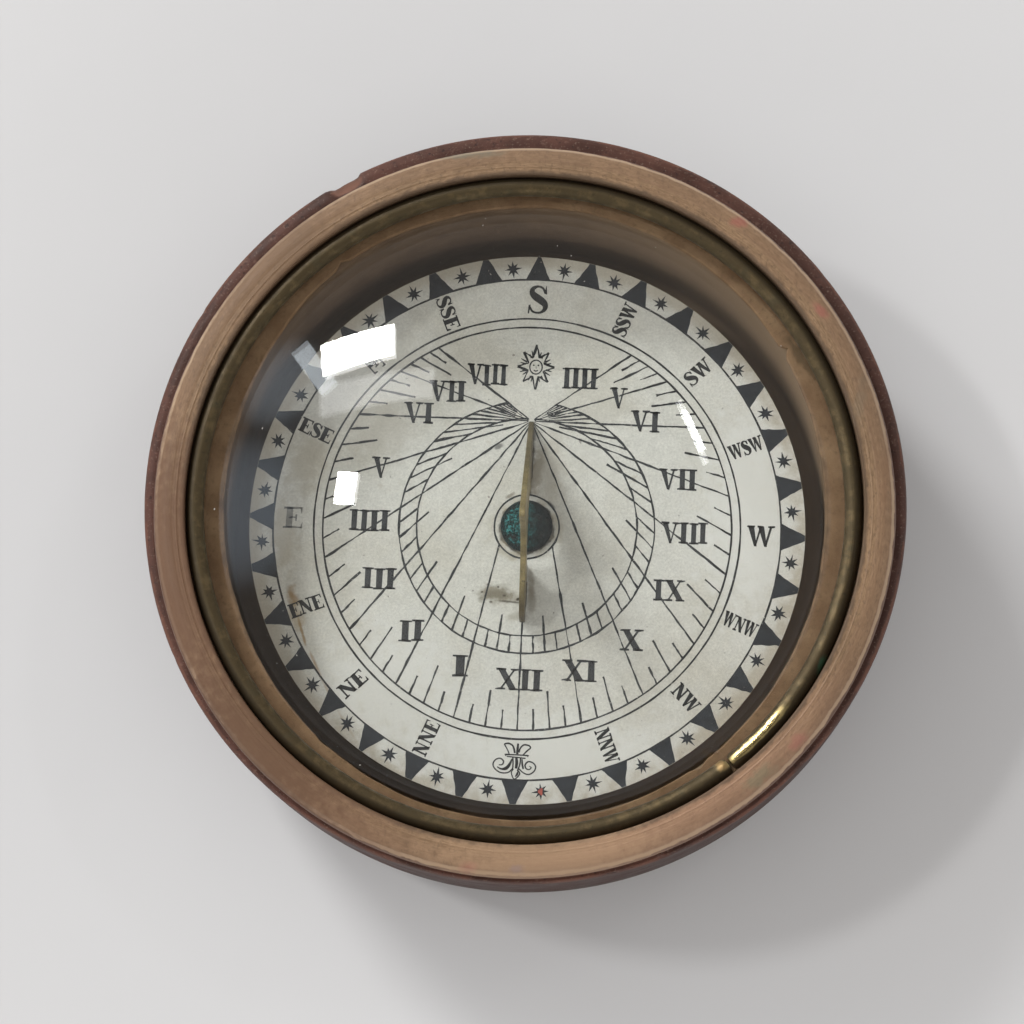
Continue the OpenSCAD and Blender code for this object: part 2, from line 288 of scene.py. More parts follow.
def refined_copy(node, name, bevel):
    """A copy of a CAD node with its triangles joined into whole faces and its sharp edges bevelled."""
    thing = frame["nodes"][node].copy()
    thing.data = frame["nodes"][node].data.copy()
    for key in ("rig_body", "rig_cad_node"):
        if key in thing:
            del thing[key]
    thing.parent = None
    thing.name = name
    bpy.context.scene.collection.objects.link(thing)
    shell = bmesh.new()
    shell.from_mesh(thing.data)
    bmesh.ops.remove_doubles(shell, verts=shell.verts, dist=2e-7)
    bmesh.ops.dissolve_limit(shell, angle_limit=math.radians(0.6), verts=shell.verts, edges=shell.edges)
    shell.to_mesh(thing.data)
    shell.free()
    thing.data.shade_smooth()
    thing.data.set_sharp_from_angle(angle=math.radians(SHARP))
    rounding = thing.modifiers.new("edges", "BEVEL")
    rounding.width = bevel * MM
    rounding.segments = 2
    rounding.limit_method = "ANGLE"
    rounding.angle_limit = math.radians(SHARP)
    rounding.use_clamp_overlap = True
    return thing


def give(thing, body, slot, *materials):
    """Sets a new piece's materials and the body that it rides on; its slot argument is not used."""
    thing.data.materials.clear()
    for material in materials:
        thing.data.materials.append(material)
    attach(thing, body)


def dress(node, material):
    """Gives a CAD node that stays its finished material."""
    thing = frame["nodes"][node]
    thing.data.materials.clear()
    thing.data.materials.append(material)


# Shader trees


def add(tree, kind, inputs=(), **settings):
    """Adds a node, sets its properties and fills its inputs with values or links."""
    node = tree.nodes.new(kind)
    for key, value in settings.items():
        setattr(node, key, value)
    for key, value in dict(inputs).items():
        if isinstance(value, bpy.types.NodeSocket):
            tree.links.new(value, node.inputs[key])
        else:
            if hasattr(value, "__len__") and len(value) == 3 and node.inputs[key].type == "RGBA":
                value = (*value, 1)
            node.inputs[key].default_value = value
    return node


def calc(tree, operation, *values, clamp=False):
    """One arithmetic step on values or sockets."""
    return add(tree, "ShaderNodeMath", enumerate(values), operation=operation, use_clamp=clamp).outputs[0]


def vector(tree, operation, *values):
    """One step of vector arithmetic; gives back its node."""
    return add(tree, "ShaderNodeVectorMath", enumerate(values), operation=operation)


def mix(tree, factor, first, second, blend="MIX"):
    """Mixes two colours by a factor."""
    node = add(tree, "ShaderNodeMix", {0: factor, 6: first, 7: second}, data_type="RGBA", blend_type=blend)
    return node.outputs[2]


def span(tree, value, start, end, to_start=0.0, to_end=1.0):
    """Smooth step of a value from one span to another."""
    sockets = {0: value, 1: start, 2: end, 3: to_start, 4: to_end}
    return add(tree, "ShaderNodeMapRange", sockets, interpolation_type="SMOOTHSTEP").outputs[0]


def noise(tree, place, scale, detail=3.0, roughness=0.55):
    """Height of a cloudy noise with features of about one over the scale."""
    sockets = {"Vector": place, "Scale": scale, "Detail": detail, "Roughness": roughness}
    return add(tree, "ShaderNodeTexNoise", sockets).outputs[0]


def start_group(name, inputs, outputs):
    """An empty shader group with named sockets; gives back its tree, its input sockets and its output
    node."""
    tree = bpy.data.node_groups.new(name, "ShaderNodeTree")
    kinds = {"f": "NodeSocketFloat", "v": "NodeSocketVector", "c": "NodeSocketColor"}
    for label, (kind, default) in inputs.items():
        socket = tree.interface.new_socket(name=label, in_out="INPUT", socket_type=kinds[kind])
        socket.default_value = (*default, 1) if kind == "c" else default
    for label, kind in outputs.items():
        tree.interface.new_socket(name=label, in_out="OUTPUT", socket_type=kinds[kind])
    return tree, tree.nodes.new("NodeGroupInput").outputs, tree.nodes.new("NodeGroupOutput")


def use(tree, group, **values):
    """Places a shader group in a tree; underscores stand for the spaces in its sockets' names."""
    node = tree.nodes.new("ShaderNodeGroup")
    node.node_tree = bpy.data.node_groups[group]
    for key, value in values.items():
        socket = node.inputs[key.replace("_", " ")]
        if isinstance(value, bpy.types.NodeSocket):
            tree.links.new(value, socket)
        else:
            socket.default_value = (*value, 1) if socket.type == "RGBA" and len(value) == 3 else value
    return node


def end_group(tree, target, **outputs):
    """Links a group's results to its outputs."""
    for key, value in outputs.items():
        tree.links.new(value, target.inputs[key.replace("_", " ")])


def part_of(tree, place, axis):
    """One coordinate of a vector: 0 for x, 1 for y, 2 for z."""
    return add(tree, "ShaderNodeSeparateXYZ", {0: place}).outputs[axis]


def tinted(tree, color, mask, strength, tint):
    """A colour that turns to a tint where a mask is high, by no more than the strength."""
    return mix(tree, calc(tree, "MULTIPLY", mask, strength), color, tint)


def blotches(tree, place, scale, detail, low_cut, high_cut):
    """Mask of soft spots, from the group of that name."""
    return use(tree, "blotches", Place=place, Scale=scale, Detail=detail, Low=low_cut,
               High=high_cut).outputs[0]


def rings_on(tree, place, per_metre, drift, shift=0.0):
    """Mask of turning lines, from the group of that name."""
    return use(tree, "turning lines", Place=place, Rings_per_metre=per_metre, Drift=drift,
               Shift=shift).outputs[0]


def band(tree, place, inner, outer, soft, ragged):
    """Mask of a ring between two radii in metres, from the radial band group."""
    return use(tree, "radial band", Place=place, Inner=inner, Outer=outer, Soft=soft,
               Ragged=ragged).outputs[0]


def stain_and_painted_light_spot(tree, place, centre, size, turn, soft, ragged, grain):
    """Mask of one spot, from the group of that name, which places stains and also painted light and shade:
    centre and half size in metres, turn in degrees.
    """
    return use(tree, "stain_and_painted_light_spot", Place=place, Centre=(*centre, 0), Size=(*size, 1), Turn=math.radians(turn),
               Soft=soft, Ragged=ragged, Grain=grain).outputs[0]


def stains_and_painted_light(tree, place, color, stains, soft, ragged, grain):
    """A colour under a list of stains, painted shadows and painted light, each with centre, half size, turn,
    tint and strength.
    """
    for centre, size, turn, tint, strength in stains:
        spot = stain_and_painted_light_spot(tree, place, [MM * x for x in centre], [MM * x for x in size], turn, soft, ragged, grain)
        color = tinted(tree, color, spot, strength, tint)
    return color


ORIGIN = (0.0, 0.0, 0.0)


def make_blotches():
    """Mask of soft spots: cloudy noise cut between two heights."""
    tree, given, target = start_group(
        "blotches",
        {"Place": ("v", ORIGIN), "Scale": ("f", 500.0), "Detail": ("f", 4.0),
         "Low": ("f", 0.5), "High": ("f", 0.6)},
        {"Mask": "f"})
    height = noise(tree, given["Place"], given["Scale"], given["Detail"], 0.6)
    end_group(tree, target, Mask=span(tree, height, given["Low"], given["High"]))


def make_turning_lines():
    """Fine rings about the z axis: noise that changes quickly with radius and height and slowly round the
    turn."""
    tree, given, target = start_group(
        "turning lines",
        {"Place": ("v", ORIGIN), "Rings per metre": ("f", 3000.0), "Drift": ("f", 3.0), "Shift": ("f", 0.0)},
        {"Mask": "f"})
    flat = vector(tree, "MULTIPLY", given["Place"], (1, 1, 0))
    reach = vector(tree, "LENGTH", flat.outputs[0]).outputs["Value"]
    heading = vector(tree, "NORMALIZE", flat.outputs[0]).outputs[0]
    height = part_of(tree, given["Place"], 2)
    along = calc(tree, "MULTIPLY", calc(tree, "ADD", reach, height), given["Rings per metre"])
    drift = add(tree, "ShaderNodeVectorMath", {0: heading, 3: given["Drift"]}, operation="SCALE").outputs[0]
    deep = add(tree, "ShaderNodeCombineXYZ", {0: given["Shift"], 2: along}).outputs[0]
    place = vector(tree, "ADD", drift, deep).outputs[0]
    end_group(tree, target, Mask=noise(tree, place, 1.0, 4.0, 0.65))


def make_radial_band():
    """Mask of a ring about the z axis, with ragged soft edges."""
    tree, given, target = start_group(
        "radial band",
        {"Place": ("v", ORIGIN), "Inner": ("f", 0.01), "Outer": ("f", 0.02), "Soft": ("f", 0.0002),
         "Ragged": ("f", 0.0)},
        {"Mask": "f"})
    flat = vector(tree, "MULTIPLY", given["Place"], (1, 1, 0)).outputs[0]
    reach = vector(tree, "LENGTH", flat).outputs["Value"]
    rough = calc(tree, "MULTIPLY", calc(tree, "SUBTRACT", noise(tree, given["Place"], 900.0), 0.5),
                 given["Ragged"])
    reach = calc(tree, "ADD", reach, rough)
    rise = span(tree, reach, calc(tree, "SUBTRACT", given["Inner"], given["Soft"]), given["Inner"])
    fall = span(tree, reach, given["Outer"], calc(tree, "ADD", given["Outer"], given["Soft"]), 1.0, 0.0)
    end_group(tree, target, Mask=calc(tree, "MULTIPLY", rise, fall))


def make_stain_and_painted_light_spot():
    """Mask of one spot: distance from its centre, turned and divided by its size, with a ragged rim."""
    tree, given, target = start_group(
        "stain_and_painted_light_spot",
        {"Place": ("v", ORIGIN), "Centre": ("v", ORIGIN), "Size": ("v", (0.001, 0.001, 0.001)),
         "Turn": ("f", 0.0), "Soft": ("f", 0.5), "Ragged": ("f", 0.5), "Grain": ("f", 900.0)},
        {"Mask": "f"})
    offset = vector(tree, "SUBTRACT", given["Place"], given["Centre"]).outputs[0]
    back = calc(tree, "MULTIPLY", given["Turn"], -1.0)
    turned_place = add(tree, "ShaderNodeVectorRotate", {"Vector": offset, "Angle": back},
                       rotation_type="Z_AXIS").outputs[0]
    scaled = vector(tree, "DIVIDE", turned_place, given["Size"]).outputs[0]
    flat = vector(tree, "MULTIPLY", scaled, (1, 1, 0)).outputs[0]
    reach = vector(tree, "LENGTH", flat).outputs["Value"]
    rough = calc(tree, "MULTIPLY", calc(tree, "SUBTRACT", noise(tree, given["Place"], given["Grain"]), 0.5),
                 given["Ragged"])
    reach = calc(tree, "ADD", reach, rough)
    edge = calc(tree, "SUBTRACT", 1.0, given["Soft"])
    end_group(tree, target, Mask=span(tree, reach, edge, 1.0, 1.0, 0.0))


# Stains of the card, with painted shadow beside the gnomon and painted light towards the card's edge: centre
# and half size in millimetres, turn in degrees, colour and strength
CARD_STAINS_AND_PAINTED_LIGHT = (
    ((-18.9, -5.6), (0.55, 1.2), 6, (0.30, 0.18, 0.07), 0.9),
    ((-18.5, -7.2), (0.9, 1.5), 15, (0.45, 0.33, 0.18), 0.5),
    ((-18.0, -8.6), (0.17, 2.2), 16, (0.33, 0.21, 0.09), 0.85),
    ((-16.9, -11.2), (0.17, 2.0), 24, (0.35, 0.22, 0.10), 0.8),
    ((-15.7, -13.6), (0.17, 1.9), 30, (0.36, 0.23, 0.10), 0.8),
    ((-14.4, -16.0), (0.15, 2.0), 32, (0.36, 0.24, 0.11), 0.6),
    ((-19.6, -0.5), (1.5, 4.5), 4, (0.47, 0.41, 0.31), 0.55),
    ((-17.6, 5.5), (2.2, 4.0), -20, (0.50, 0.45, 0.36), 0.45),
    ((-12.0, 8.0), (4.0, 3.0), 40, (0.56, 0.52, 0.44), 0.4),
    ((-2.3, -5.5), (2.2, 1.0), -8, (0.27, 0.235, 0.17), 0.85),
    ((-2.3, -5.5), (1.6, 0.6), 4, (0.14, 0.125, 0.09), 0.5),
    ((-1.5, -6.1), (1.3, 0.13), -6, (0.08, 0.07, 0.05), 0.8),
    ((-0.9, -7.3), (1.3, 0.5), 10, (0.33, 0.29, 0.22), 0.5),
    # The next two: grime and painted shadow close beside the gnomon's south part, on its west side
    ((0.40, 6.0), (0.46, 3.0), -3, (0.050, 0.038, 0.023), 1.0),
    ((0.85, 4.7), (0.85, 2.6), -10, (0.30, 0.25, 0.175), 0.7),
    ((0.0, 0.0), (3.0, 3.0), 0, (0.50, 0.43, 0.31), 0.6),
    ((-1.3, 2.6), (0.7, 0.25), 35, (0.16, 0.12, 0.07), 0.6),
    # The next two: painted shadow beside the gnomon's north leg, on its west side
    ((0.35, -4.6), (0.35, 1.9), 0, (0.26, 0.21, 0.14), 0.5),
    ((0.4, -6.2), (0.5, 2.3), 0, (0.24, 0.20, 0.14), 0.5),
    ((2.0, 1.75), (0.7, 0.22), -42, (0.05, 0.05, 0.045), 0.8),
    ((-2.3, 6.6), (0.45, 0.25), 30, (0.06, 0.06, 0.065), 0.7),
    ((-1.5, -2.2), (1.4, 0.6), -20, (0.42, 0.37, 0.26), 0.5),
    ((2.6, -0.4), (0.5, 1.6), 10, (0.40, 0.36, 0.27), 0.45),
    ((6.4, 9.5), (3.0, 2.0), 30, (0.50, 0.47, 0.40), 0.25),
    ((-9.0, 14.0), (4.0, 2.5), -30, (0.50, 0.46, 0.38), 0.3),
    ((9.0, -15.0), (3.2, 2.2), 15, (0.52, 0.49, 0.42), 0.25),
    # Painted shadow of the gnomon, west of its south part
    ((1.8, 5.0), (1.7, 4.4), -4, (0.50, 0.45, 0.37), 0.4),
    ((-3.1, -4.7), (0.16, 0.13), 0, (0.09, 0.075, 0.05), 0.9),
    ((-2.3, -4.9), (0.13, 0.13), 0, (0.08, 0.07, 0.05), 0.9),
    ((-3.6, -5.3), (0.15, 0.12), 0, (0.09, 0.08, 0.05), 0.9),
    ((-1.8, -5.6), (0.16, 0.12), 0, (0.08, 0.065, 0.045), 0.9),
    ((-0.7, -5.9), (0.22, 0.15), 20, (0.06, 0.05, 0.03), 1.0),
    ((-2.9, -6.1), (0.2, 0.12), 0, (0.10, 0.08, 0.055), 0.9),
    # The last three: painted light, lightening the card near its west, north and north-east edges
    ((17.8, 1.0), (6.0, 13.0), 0, (0.83, 0.825, 0.795), 0.7),
    ((1.0, -18.6), (15.0, 5.0), 0, (0.83, 0.825, 0.795), 0.7),
    ((-11.0, -13.0), (8.0, 7.0), -30, (0.81, 0.805, 0.775), 0.6),
)


def make_aged_paper():
    """Colour and height of the aged card: cloudy tone, fibres, foxing, an edge that has darkened, dirt and
    painted shade in a ring round the cap's foot, and the stains, painted shadows and painted light of the
    list."""
    dial = bpy.context.scene.sundial_dial
    tree, given, target = start_group(
        "aged paper", {"Place": ("v", ORIGIN), "Tone": ("c", tuple(dial.paper))},
        {"Color": "c", "Height": "f"})
    place = given["Place"]
    cloud = blotches(tree, place, 120.0, 5.0, 0.38, 0.7)
    color = mix(tree, cloud, given["Tone"], (0.645, 0.618, 0.550))
    mottle = noise(tree, place, 1100.0, 4.0, 0.65)
    fibre = noise(tree, place, 5200.0, 4.0, 0.7)
    shade = calc(tree, "MULTIPLY", span(tree, fibre, 0.25, 0.75, 0.82, 1.08),
                 span(tree, mottle, 0.3, 0.7, 0.93, 1.03))
    grey = add(tree, "ShaderNodeCombineColor", {0: shade, 1: shade, 2: shade}).outputs[0]
    color = mix(tree, 1.0, color, grey, "MULTIPLY")
    foxing = blotches(tree, place, 420.0, 6.0, 0.66, 0.76)
    color = tinted(tree, color, foxing, 0.35, (0.36, 0.28, 0.17))
    specks = blotches(tree, place, 1500.0, 2.0, 0.735, 0.77)
    color = tinted(tree, color, specks, 0.6, (0.13, 0.11, 0.09))
    edge = band(tree, place, (CARD_R - 0.4) * MM, 1.1 * CARD_R * MM, 0.0011, 0.001)
    color = tinted(tree, color, edge, 0.5, (0.40, 0.33, 0.23))
    cap_edge = high("card_cap")[0] * MM
    # Dirt and painted shade in a ragged dark ring round the cap's foot
    grime_and_shade = band(tree, place, 0.0, cap_edge + 0.00004, 0.00022, 0.0011)
    color = tinted(tree, color, grime_and_shade, 0.9, (0.028, 0.026, 0.020))
    color = stains_and_painted_light(tree, place, color, CARD_STAINS_AND_PAINTED_LIGHT, 0.75, 1.5, 1100.0)
    end_group(tree, target, Color=color, Height=fibre)


def make_brass_finish():
    """Brass between clean and tarnished: tarnish gathers in blotches, and green spots may sit on it."""
    metal = bpy.context.scene.sundial_metal
    tree, given, target = start_group(
        "brass finish",
        {"Place": ("v", ORIGIN), "Clean": ("c", tuple(metal.brass)), "Dull": ("c", tuple(metal.tarnish)),
         "Wear": ("f", 0.5), "Green": ("f", 0.0), "Scale": ("f", 400.0)},
        {"Color": "c", "Roughness": "f", "Metallic": "f", "Height": "f"})
    place = given["Place"]
    cloud = noise(tree, place, given["Scale"], 6.0, 0.62)
    worn = span(tree, calc(tree, "ADD", cloud, calc(tree, "SUBTRACT", given["Wear"], 0.5)), 0.42, 0.62)
    color = mix(tree, worn, given["Dull"], given["Clean"])
    grains = blotches(tree, place, 2600.0, 3.0, 0.62, 0.7)
    color = tinted(tree, color, grains, 0.6, (0.04, 0.035, 0.02))
    green_at = blotches(tree, place, 520.0, 5.0, 0.56, 0.66)
    green = calc(tree, "MULTIPLY", green_at, given["Green"], clamp=True)
    color = mix(tree, green, color, tuple(metal.verdigris))
    rough = span(tree, cloud, 0.3, 0.7, 0.46, 0.26)
    rough = calc(tree, "ADD", rough, calc(tree, "MULTIPLY", green, 0.4), clamp=True)
    metallic = calc(tree, "SUBTRACT", 1.0, calc(tree, "MULTIPLY", green, 0.9))
    end_group(tree, target, Color=color, Roughness=rough, Metallic=metallic, Height=cloud)


def start_material(name):
    """An empty material: gives back it, its tree, its Principled shader and its Object coordinates."""
    material = bpy.data.materials.new(name)
    material.use_nodes = True
    tree = material.node_tree
    tree.nodes.clear()
    shader = tree.nodes.new("ShaderNodeBsdfPrincipled")
    end = tree.nodes.new("ShaderNodeOutputMaterial")
    tree.links.new(shader.outputs[0], end.inputs[0])
    return material, tree, shader, tree.nodes.new("ShaderNodeTexCoord").outputs["Object"]


def wire_up(tree, shader, color, roughness=0.6, metallic=0.0, height=None, depth=0.00001, specular=0.5):
    """Links colour, roughness, metal and a bump of the given depth in metres to the shader."""
    for key, value in {"Base Color": color, "Roughness": roughness, "Metallic": metallic}.items():
        if isinstance(value, bpy.types.NodeSocket):
            tree.links.new(value, shader.inputs[key])
        else:
            shader.inputs[key].default_value = (*value, 1) if key == "Base Color" else value
    shader.inputs["Specular IOR Level"].default_value = specular
    if height is not None:
        bump = add(tree, "ShaderNodeBump", {"Height": height, "Distance": depth, "Strength": 1.0})
        tree.links.new(bump.outputs[0], shader.inputs["Normal"])


# Stains of the case: centre and half size in millimetres, turn in degrees, colour and strength
CASE_STAINS = (
    ((17.1, 22.5), (1.0, 0.7), 0, (0.34, 0.09, 0.08), 0.5),
    ((23.4, 15.2), (1.2, 0.5), -50, (0.36, 0.10, 0.09), 0.45),
    ((-4.2, -28.2), (1.0, 0.6), 5, (0.35, 0.10, 0.09), 0.5),
    ((-0.5, -28.4), (0.8, 0.5), 0, (0.10, 0.11, 0.20), 0.6),
    ((21.0, -18.7), (1.3, 0.7), 45, (0.38, 0.13, 0.11), 0.4),
    ((18.1, -21.4), (2.2, 0.8), 42, (0.17, 0.19, 0.12), 0.4),
    ((-5.0, 28.3), (4.5, 0.6), 0, (0.16, 0.17, 0.13), 0.5),
    ((26.3, 8.0), (0.7, 3.0), -10, (0.16, 0.13, 0.09), 0.35),
    ((-27.6, -4.5), (0.7, 3.4), 8, (0.22, 0.16, 0.11), 0.35),
    ((-18.0, 21.0), (2.6, 0.7), 48, (0.20, 0.14, 0.10), 0.3),
    ((-27.0, -6.0), (11.0, 19.0), 18, (0.13, 0.066, 0.037), 0.8),
    ((-19.0, 19.0), (10.0, 10.0), 0, (0.165, 0.098, 0.055), 0.7),
    ((-15.0, -24.0), (9.0, 6.0), -30, (0.17, 0.092, 0.054), 0.5),
    ((-20.5, -20.0), (11.0, 11.0), 0, (0.125, 0.066, 0.036), 0.85),
    ((2.0, -28.5), (15.0, 6.0), 4, (0.43, 0.28, 0.17), 0.55),
    ((28.3, 3.0), (0.5, 5.0), -6, (0.20, 0.11, 0.06), 0.4),
)


def finish_rim_wood():
    """Bare turned wood: fine rings, cloudy tone, pores, darkened edges, a painted highlight line at the lid
    seat, and the ink and dirt on the rim.
    """
    case = bpy.context.scene.sundial_case
    material, tree, shader, place = start_material("bare_rim_wood")
    rings = rings_on(tree, place, 7500.0, 2.2)
    fine = rings_on(tree, place, 11000.0, 45.0, 4.0)
    stretched = vector(tree, "MULTIPLY", place, (1.0, 0.35, 1.0)).outputs[0]
    cloud = noise(tree, stretched, 260.0, 5.0, 0.6)
    color = mix(tree, span(tree, cloud, 0.32, 0.68), tuple(0.72 * c for c in case.wood), tuple(case.wood))
    color = mix(tree, span(tree, rings, 0.45, 0.78, 0.0, 0.75), color, (0.185, 0.108, 0.06))
    color = mix(tree, span(tree, fine, 0.48, 0.70, 0.0, 0.7), color, (0.15, 0.090, 0.048))
    color = mix(tree, span(tree, fine, 0.5, 0.3, 0.0, 0.3), color, (0.43, 0.29, 0.18))
    drawn_out = vector(tree, "MULTIPLY", place, (1.0, 0.5, 1.0)).outputs[0]
    pores = blotches(tree, drawn_out, 4200.0, 3.0, 0.56, 0.66)
    color = tinted(tree, color, pores, 0.45, (0.10, 0.062, 0.038))
    pink = stain_and_painted_light_spot(tree, place, (0.014, -0.024), (0.022, 0.012), 30, 0.9, 0.8, 200.0)
    color = tinted(tree, color, pink, 0.35, (0.44, 0.25, 0.17))
    mouth = high("bedding_ring")[0] + 0.1
    inner = band(tree, place, 0.02, (mouth + 0.12) * MM, 0.0003, 0.0006)
    color = tinted(tree, color, inner, 0.75, (0.075, 0.048, 0.03))
    slope = band(tree, place, (SEAT_R - 1.3) * MM, (SEAT_R - 0.5) * MM, 0.0004, 0.0006)
    color = tinted(tree, color, slope, 0.35, (0.20, 0.118, 0.072))
    # Painted highlight: a thin light line round the foot of the rim's slope, at the lid seat
    seat = band(tree, place, (SEAT_R - 0.32) * MM, (SEAT_R - 0.17) * MM, 0.00012, 0.00025)
    color = tinted(tree, color, seat, 0.7, (0.46, 0.33, 0.22))
    foot = band(tree, place, (SEAT_R - 0.08) * MM, 0.04, 0.0001, 0.0004)
    color = tinted(tree, color, foot, 0.8, (0.10, 0.05, 0.035))
    color = stains_and_painted_light(tree, place, color, CASE_STAINS, 0.8, 1.2, 1400.0)
    rough = span(tree, rings, 0.3, 0.8, 0.52, 0.68)
    wire_up(tree, shader, color, rough, height=calc(tree, "ADD", rings, fine), depth=0.00002, specular=0.35)
    return material


def finish_lacquer():
    """Worn red-brown lacquer: mottled tone, painted shade towards the west, specks, dust, and redder wood
    where the edge has rubbed through."""
    case = bpy.context.scene.sundial_case
    material, tree, shader, place = start_material("worn_lacquer")
    cloud = noise(tree, place, 320.0, 6.0, 0.62)
    deep = tuple(0.55 * c for c in case.lacquer)
    color = mix(tree, span(tree, cloud, 0.34, 0.66), deep, tuple(case.lacquer))
    lines = rings_on(tree, place, 5200.0, 3.0)
    color = mix(tree, span(tree, lines, 0.5, 0.78, 0.0, 0.5), color, (0.13, 0.065, 0.045))
    light = blotches(tree, place, 1700.0, 3.0, 0.6, 0.72)
    color = tinted(tree, color, light, 0.45, (0.21, 0.125, 0.095))
    dark = blotches(tree, place, 2400.0, 3.0, 0.6, 0.68)
    color = tinted(tree, color, dark, 0.7, (0.022, 0.012, 0.011))
    # Painted shade: the lacquer darkens towards the west, the side away from the window
    west = span(tree, part_of(tree, place, 0), 0.010, 0.027, 0.0, 0.45)
    color = mix(tree, west, color, (0.045, 0.024, 0.019))
    dust = blotches(tree, place, 5200.0, 3.0, 0.60, 0.66)
    color = tinted(tree, color, dust, 0.45, (0.22, 0.16, 0.125))
    centred = vector(tree, "SUBTRACT", place, (0, case.sway, 0)).outputs[0]
    edge = band(tree, centred, (CASE_R - 0.16) * MM, (CASE_R + 0.5) * MM, 0.00012, 0.0004)
    height = part_of(tree, place, 2)
    up = span(tree, height, 0.0166, 0.0171)
    broken = blotches(tree, place, 260.0, 5.0, 0.42, 0.58)
    wear = calc(tree, "MULTIPLY", calc(tree, "MULTIPLY", edge, up), broken)
    color = tinted(tree, color, wear, 0.4, (0.19, 0.075, 0.045))
    chip = CASE_R * MM * np.array([math.cos(case.chip_angle), math.sin(case.chip_angle)])
    raw = stain_and_painted_light_spot(tree, place, chip, (0.0007, 0.0016), math.degrees(case.chip_angle), 0.35, 0.5, 1500.0)
    color = tinted(tree, color, raw, 0.85, (0.185, 0.085, 0.055))
    below = span(tree, height, 0.0173, 0.0160, 0.0, 0.65)
    color = mix(tree, below, color, (0.030, 0.013, 0.010))
    base = span(tree, height, 0.0, 0.0006, 0.8, 0.0)
    color = mix(tree, calc(tree, "MULTIPLY", base, light), color, (0.28, 0.18, 0.11))
    rough = span(tree, cloud, 0.3, 0.7, 0.46, 0.62)
    wire_up(tree, shader, color, rough, height=calc(tree, "ADD", lines, calc(tree, "MULTIPLY", dark, -0.6)),
            depth=0.000025, specular=0.22)
    return material


def finish_chamber_wood():
    """Dark stained wood inside the bowl, with painted light towards the west, faint rings and dust."""
    material, tree, shader, place = start_material("dark_chamber_wood")
    rings = rings_on(tree, place, 4200.0, 3.0)
    cloud = noise(tree, place, 380.0, 5.0, 0.6)
    color = mix(tree, span(tree, cloud, 0.3, 0.7), (0.080, 0.048, 0.031), (0.125, 0.079, 0.052))
    color = mix(tree, span(tree, rings, 0.5, 0.8, 0.0, 0.6), color, (0.050, 0.030, 0.020))
    # Painted light: the wood turns lighter towards the west, where the wall faces the window
    west = span(tree, part_of(tree, place, 0), -0.004, 0.022, 0.12, 0.9)
    color = mix(tree, west, color, (0.30, 0.205, 0.13))
    dust = blotches(tree, place, 3000.0, 2.0, 0.68, 0.74)
    color = tinted(tree, color, dust, 0.5, (0.24, 0.20, 0.16))
    wire_up(tree, shader, color, 0.7, height=rings, depth=0.00003, specular=0.3)
    return material


def finish_bedding():
    """Brown fibrous board under the glass, darker where it has taken up grease, with painted shade under the
    split of the wire.
    """
    material, tree, shader, place = start_material("bedding_board_fibre")
    fibre = noise(tree, place, 2600.0, 5.0, 0.7)
    cloud = noise(tree, place, 300.0, 4.0, 0.6)
    color = mix(tree, span(tree, cloud, 0.3, 0.7), (0.19, 0.110, 0.061), (0.285, 0.178, 0.103))
    color = mix(tree, span(tree, fibre, 0.5, 0.75, 0.0, 0.55), color, (0.085, 0.055, 0.032))
    worn = band(tree, place, 0.02, 0.0233, 0.0006, 0.0012)
    color = tinted(tree, color, worn, 0.6, (0.06, 0.039, 0.024))
    spot = stain_and_painted_light_spot(tree, place, (0.0218, 0.0120), (0.0007, 0.0026), 32, 0.6, 1.5, 1300.0)
    color = tinted(tree, color, spot, 0.65, (0.065, 0.045, 0.025))
    # Painted shade: a nearly black spot under the split of the wire
    split = stain_and_painted_light_spot(tree, place, (0.0158, -0.0203), (0.0007, 0.0006), 0, 0.6, 0.8, 1500.0)
    color = tinted(tree, color, split, 0.9, (0.030, 0.020, 0.010))
    wire_up(tree, shader, color, 0.85, height=fibre, depth=0.00006, specular=0.2)
    return material


def finish_glass():
    """Clear old glass. Light reaches the dial through it, because shadow rays and diffuse rays meet a plain
    transparent shader."""
    material, tree, shader, place = start_material("old_clear_glass")
    smears = blotches(tree, place, 160.0, 5.0, 0.45, 0.75)
    shader.inputs["Transmission Weight"].default_value = 1.0
    shader.inputs["IOR"].default_value = 1.5
    wire_up(tree, shader, (0.97, 0.985, 0.98), span(tree, smears, 0.0, 1.0, 0.0, 0.035))
    clear = add(tree, "ShaderNodeBsdfTransparent", {0: (0.95, 0.965, 0.96)})
    path = tree.nodes.new("ShaderNodeLightPath")
    soft = calc(tree, "MAXIMUM", path.outputs["Is Shadow Ray"], path.outputs["Is Diffuse Ray"])
    both = add(tree, "ShaderNodeMixShader", {0: soft, 1: shader.outputs[0], 2: clear.outputs[0]})
    end = next(n for n in tree.nodes if n.type == "OUTPUT_MATERIAL")
    tree.links.new(both.outputs[0], end.inputs[0])
    return material


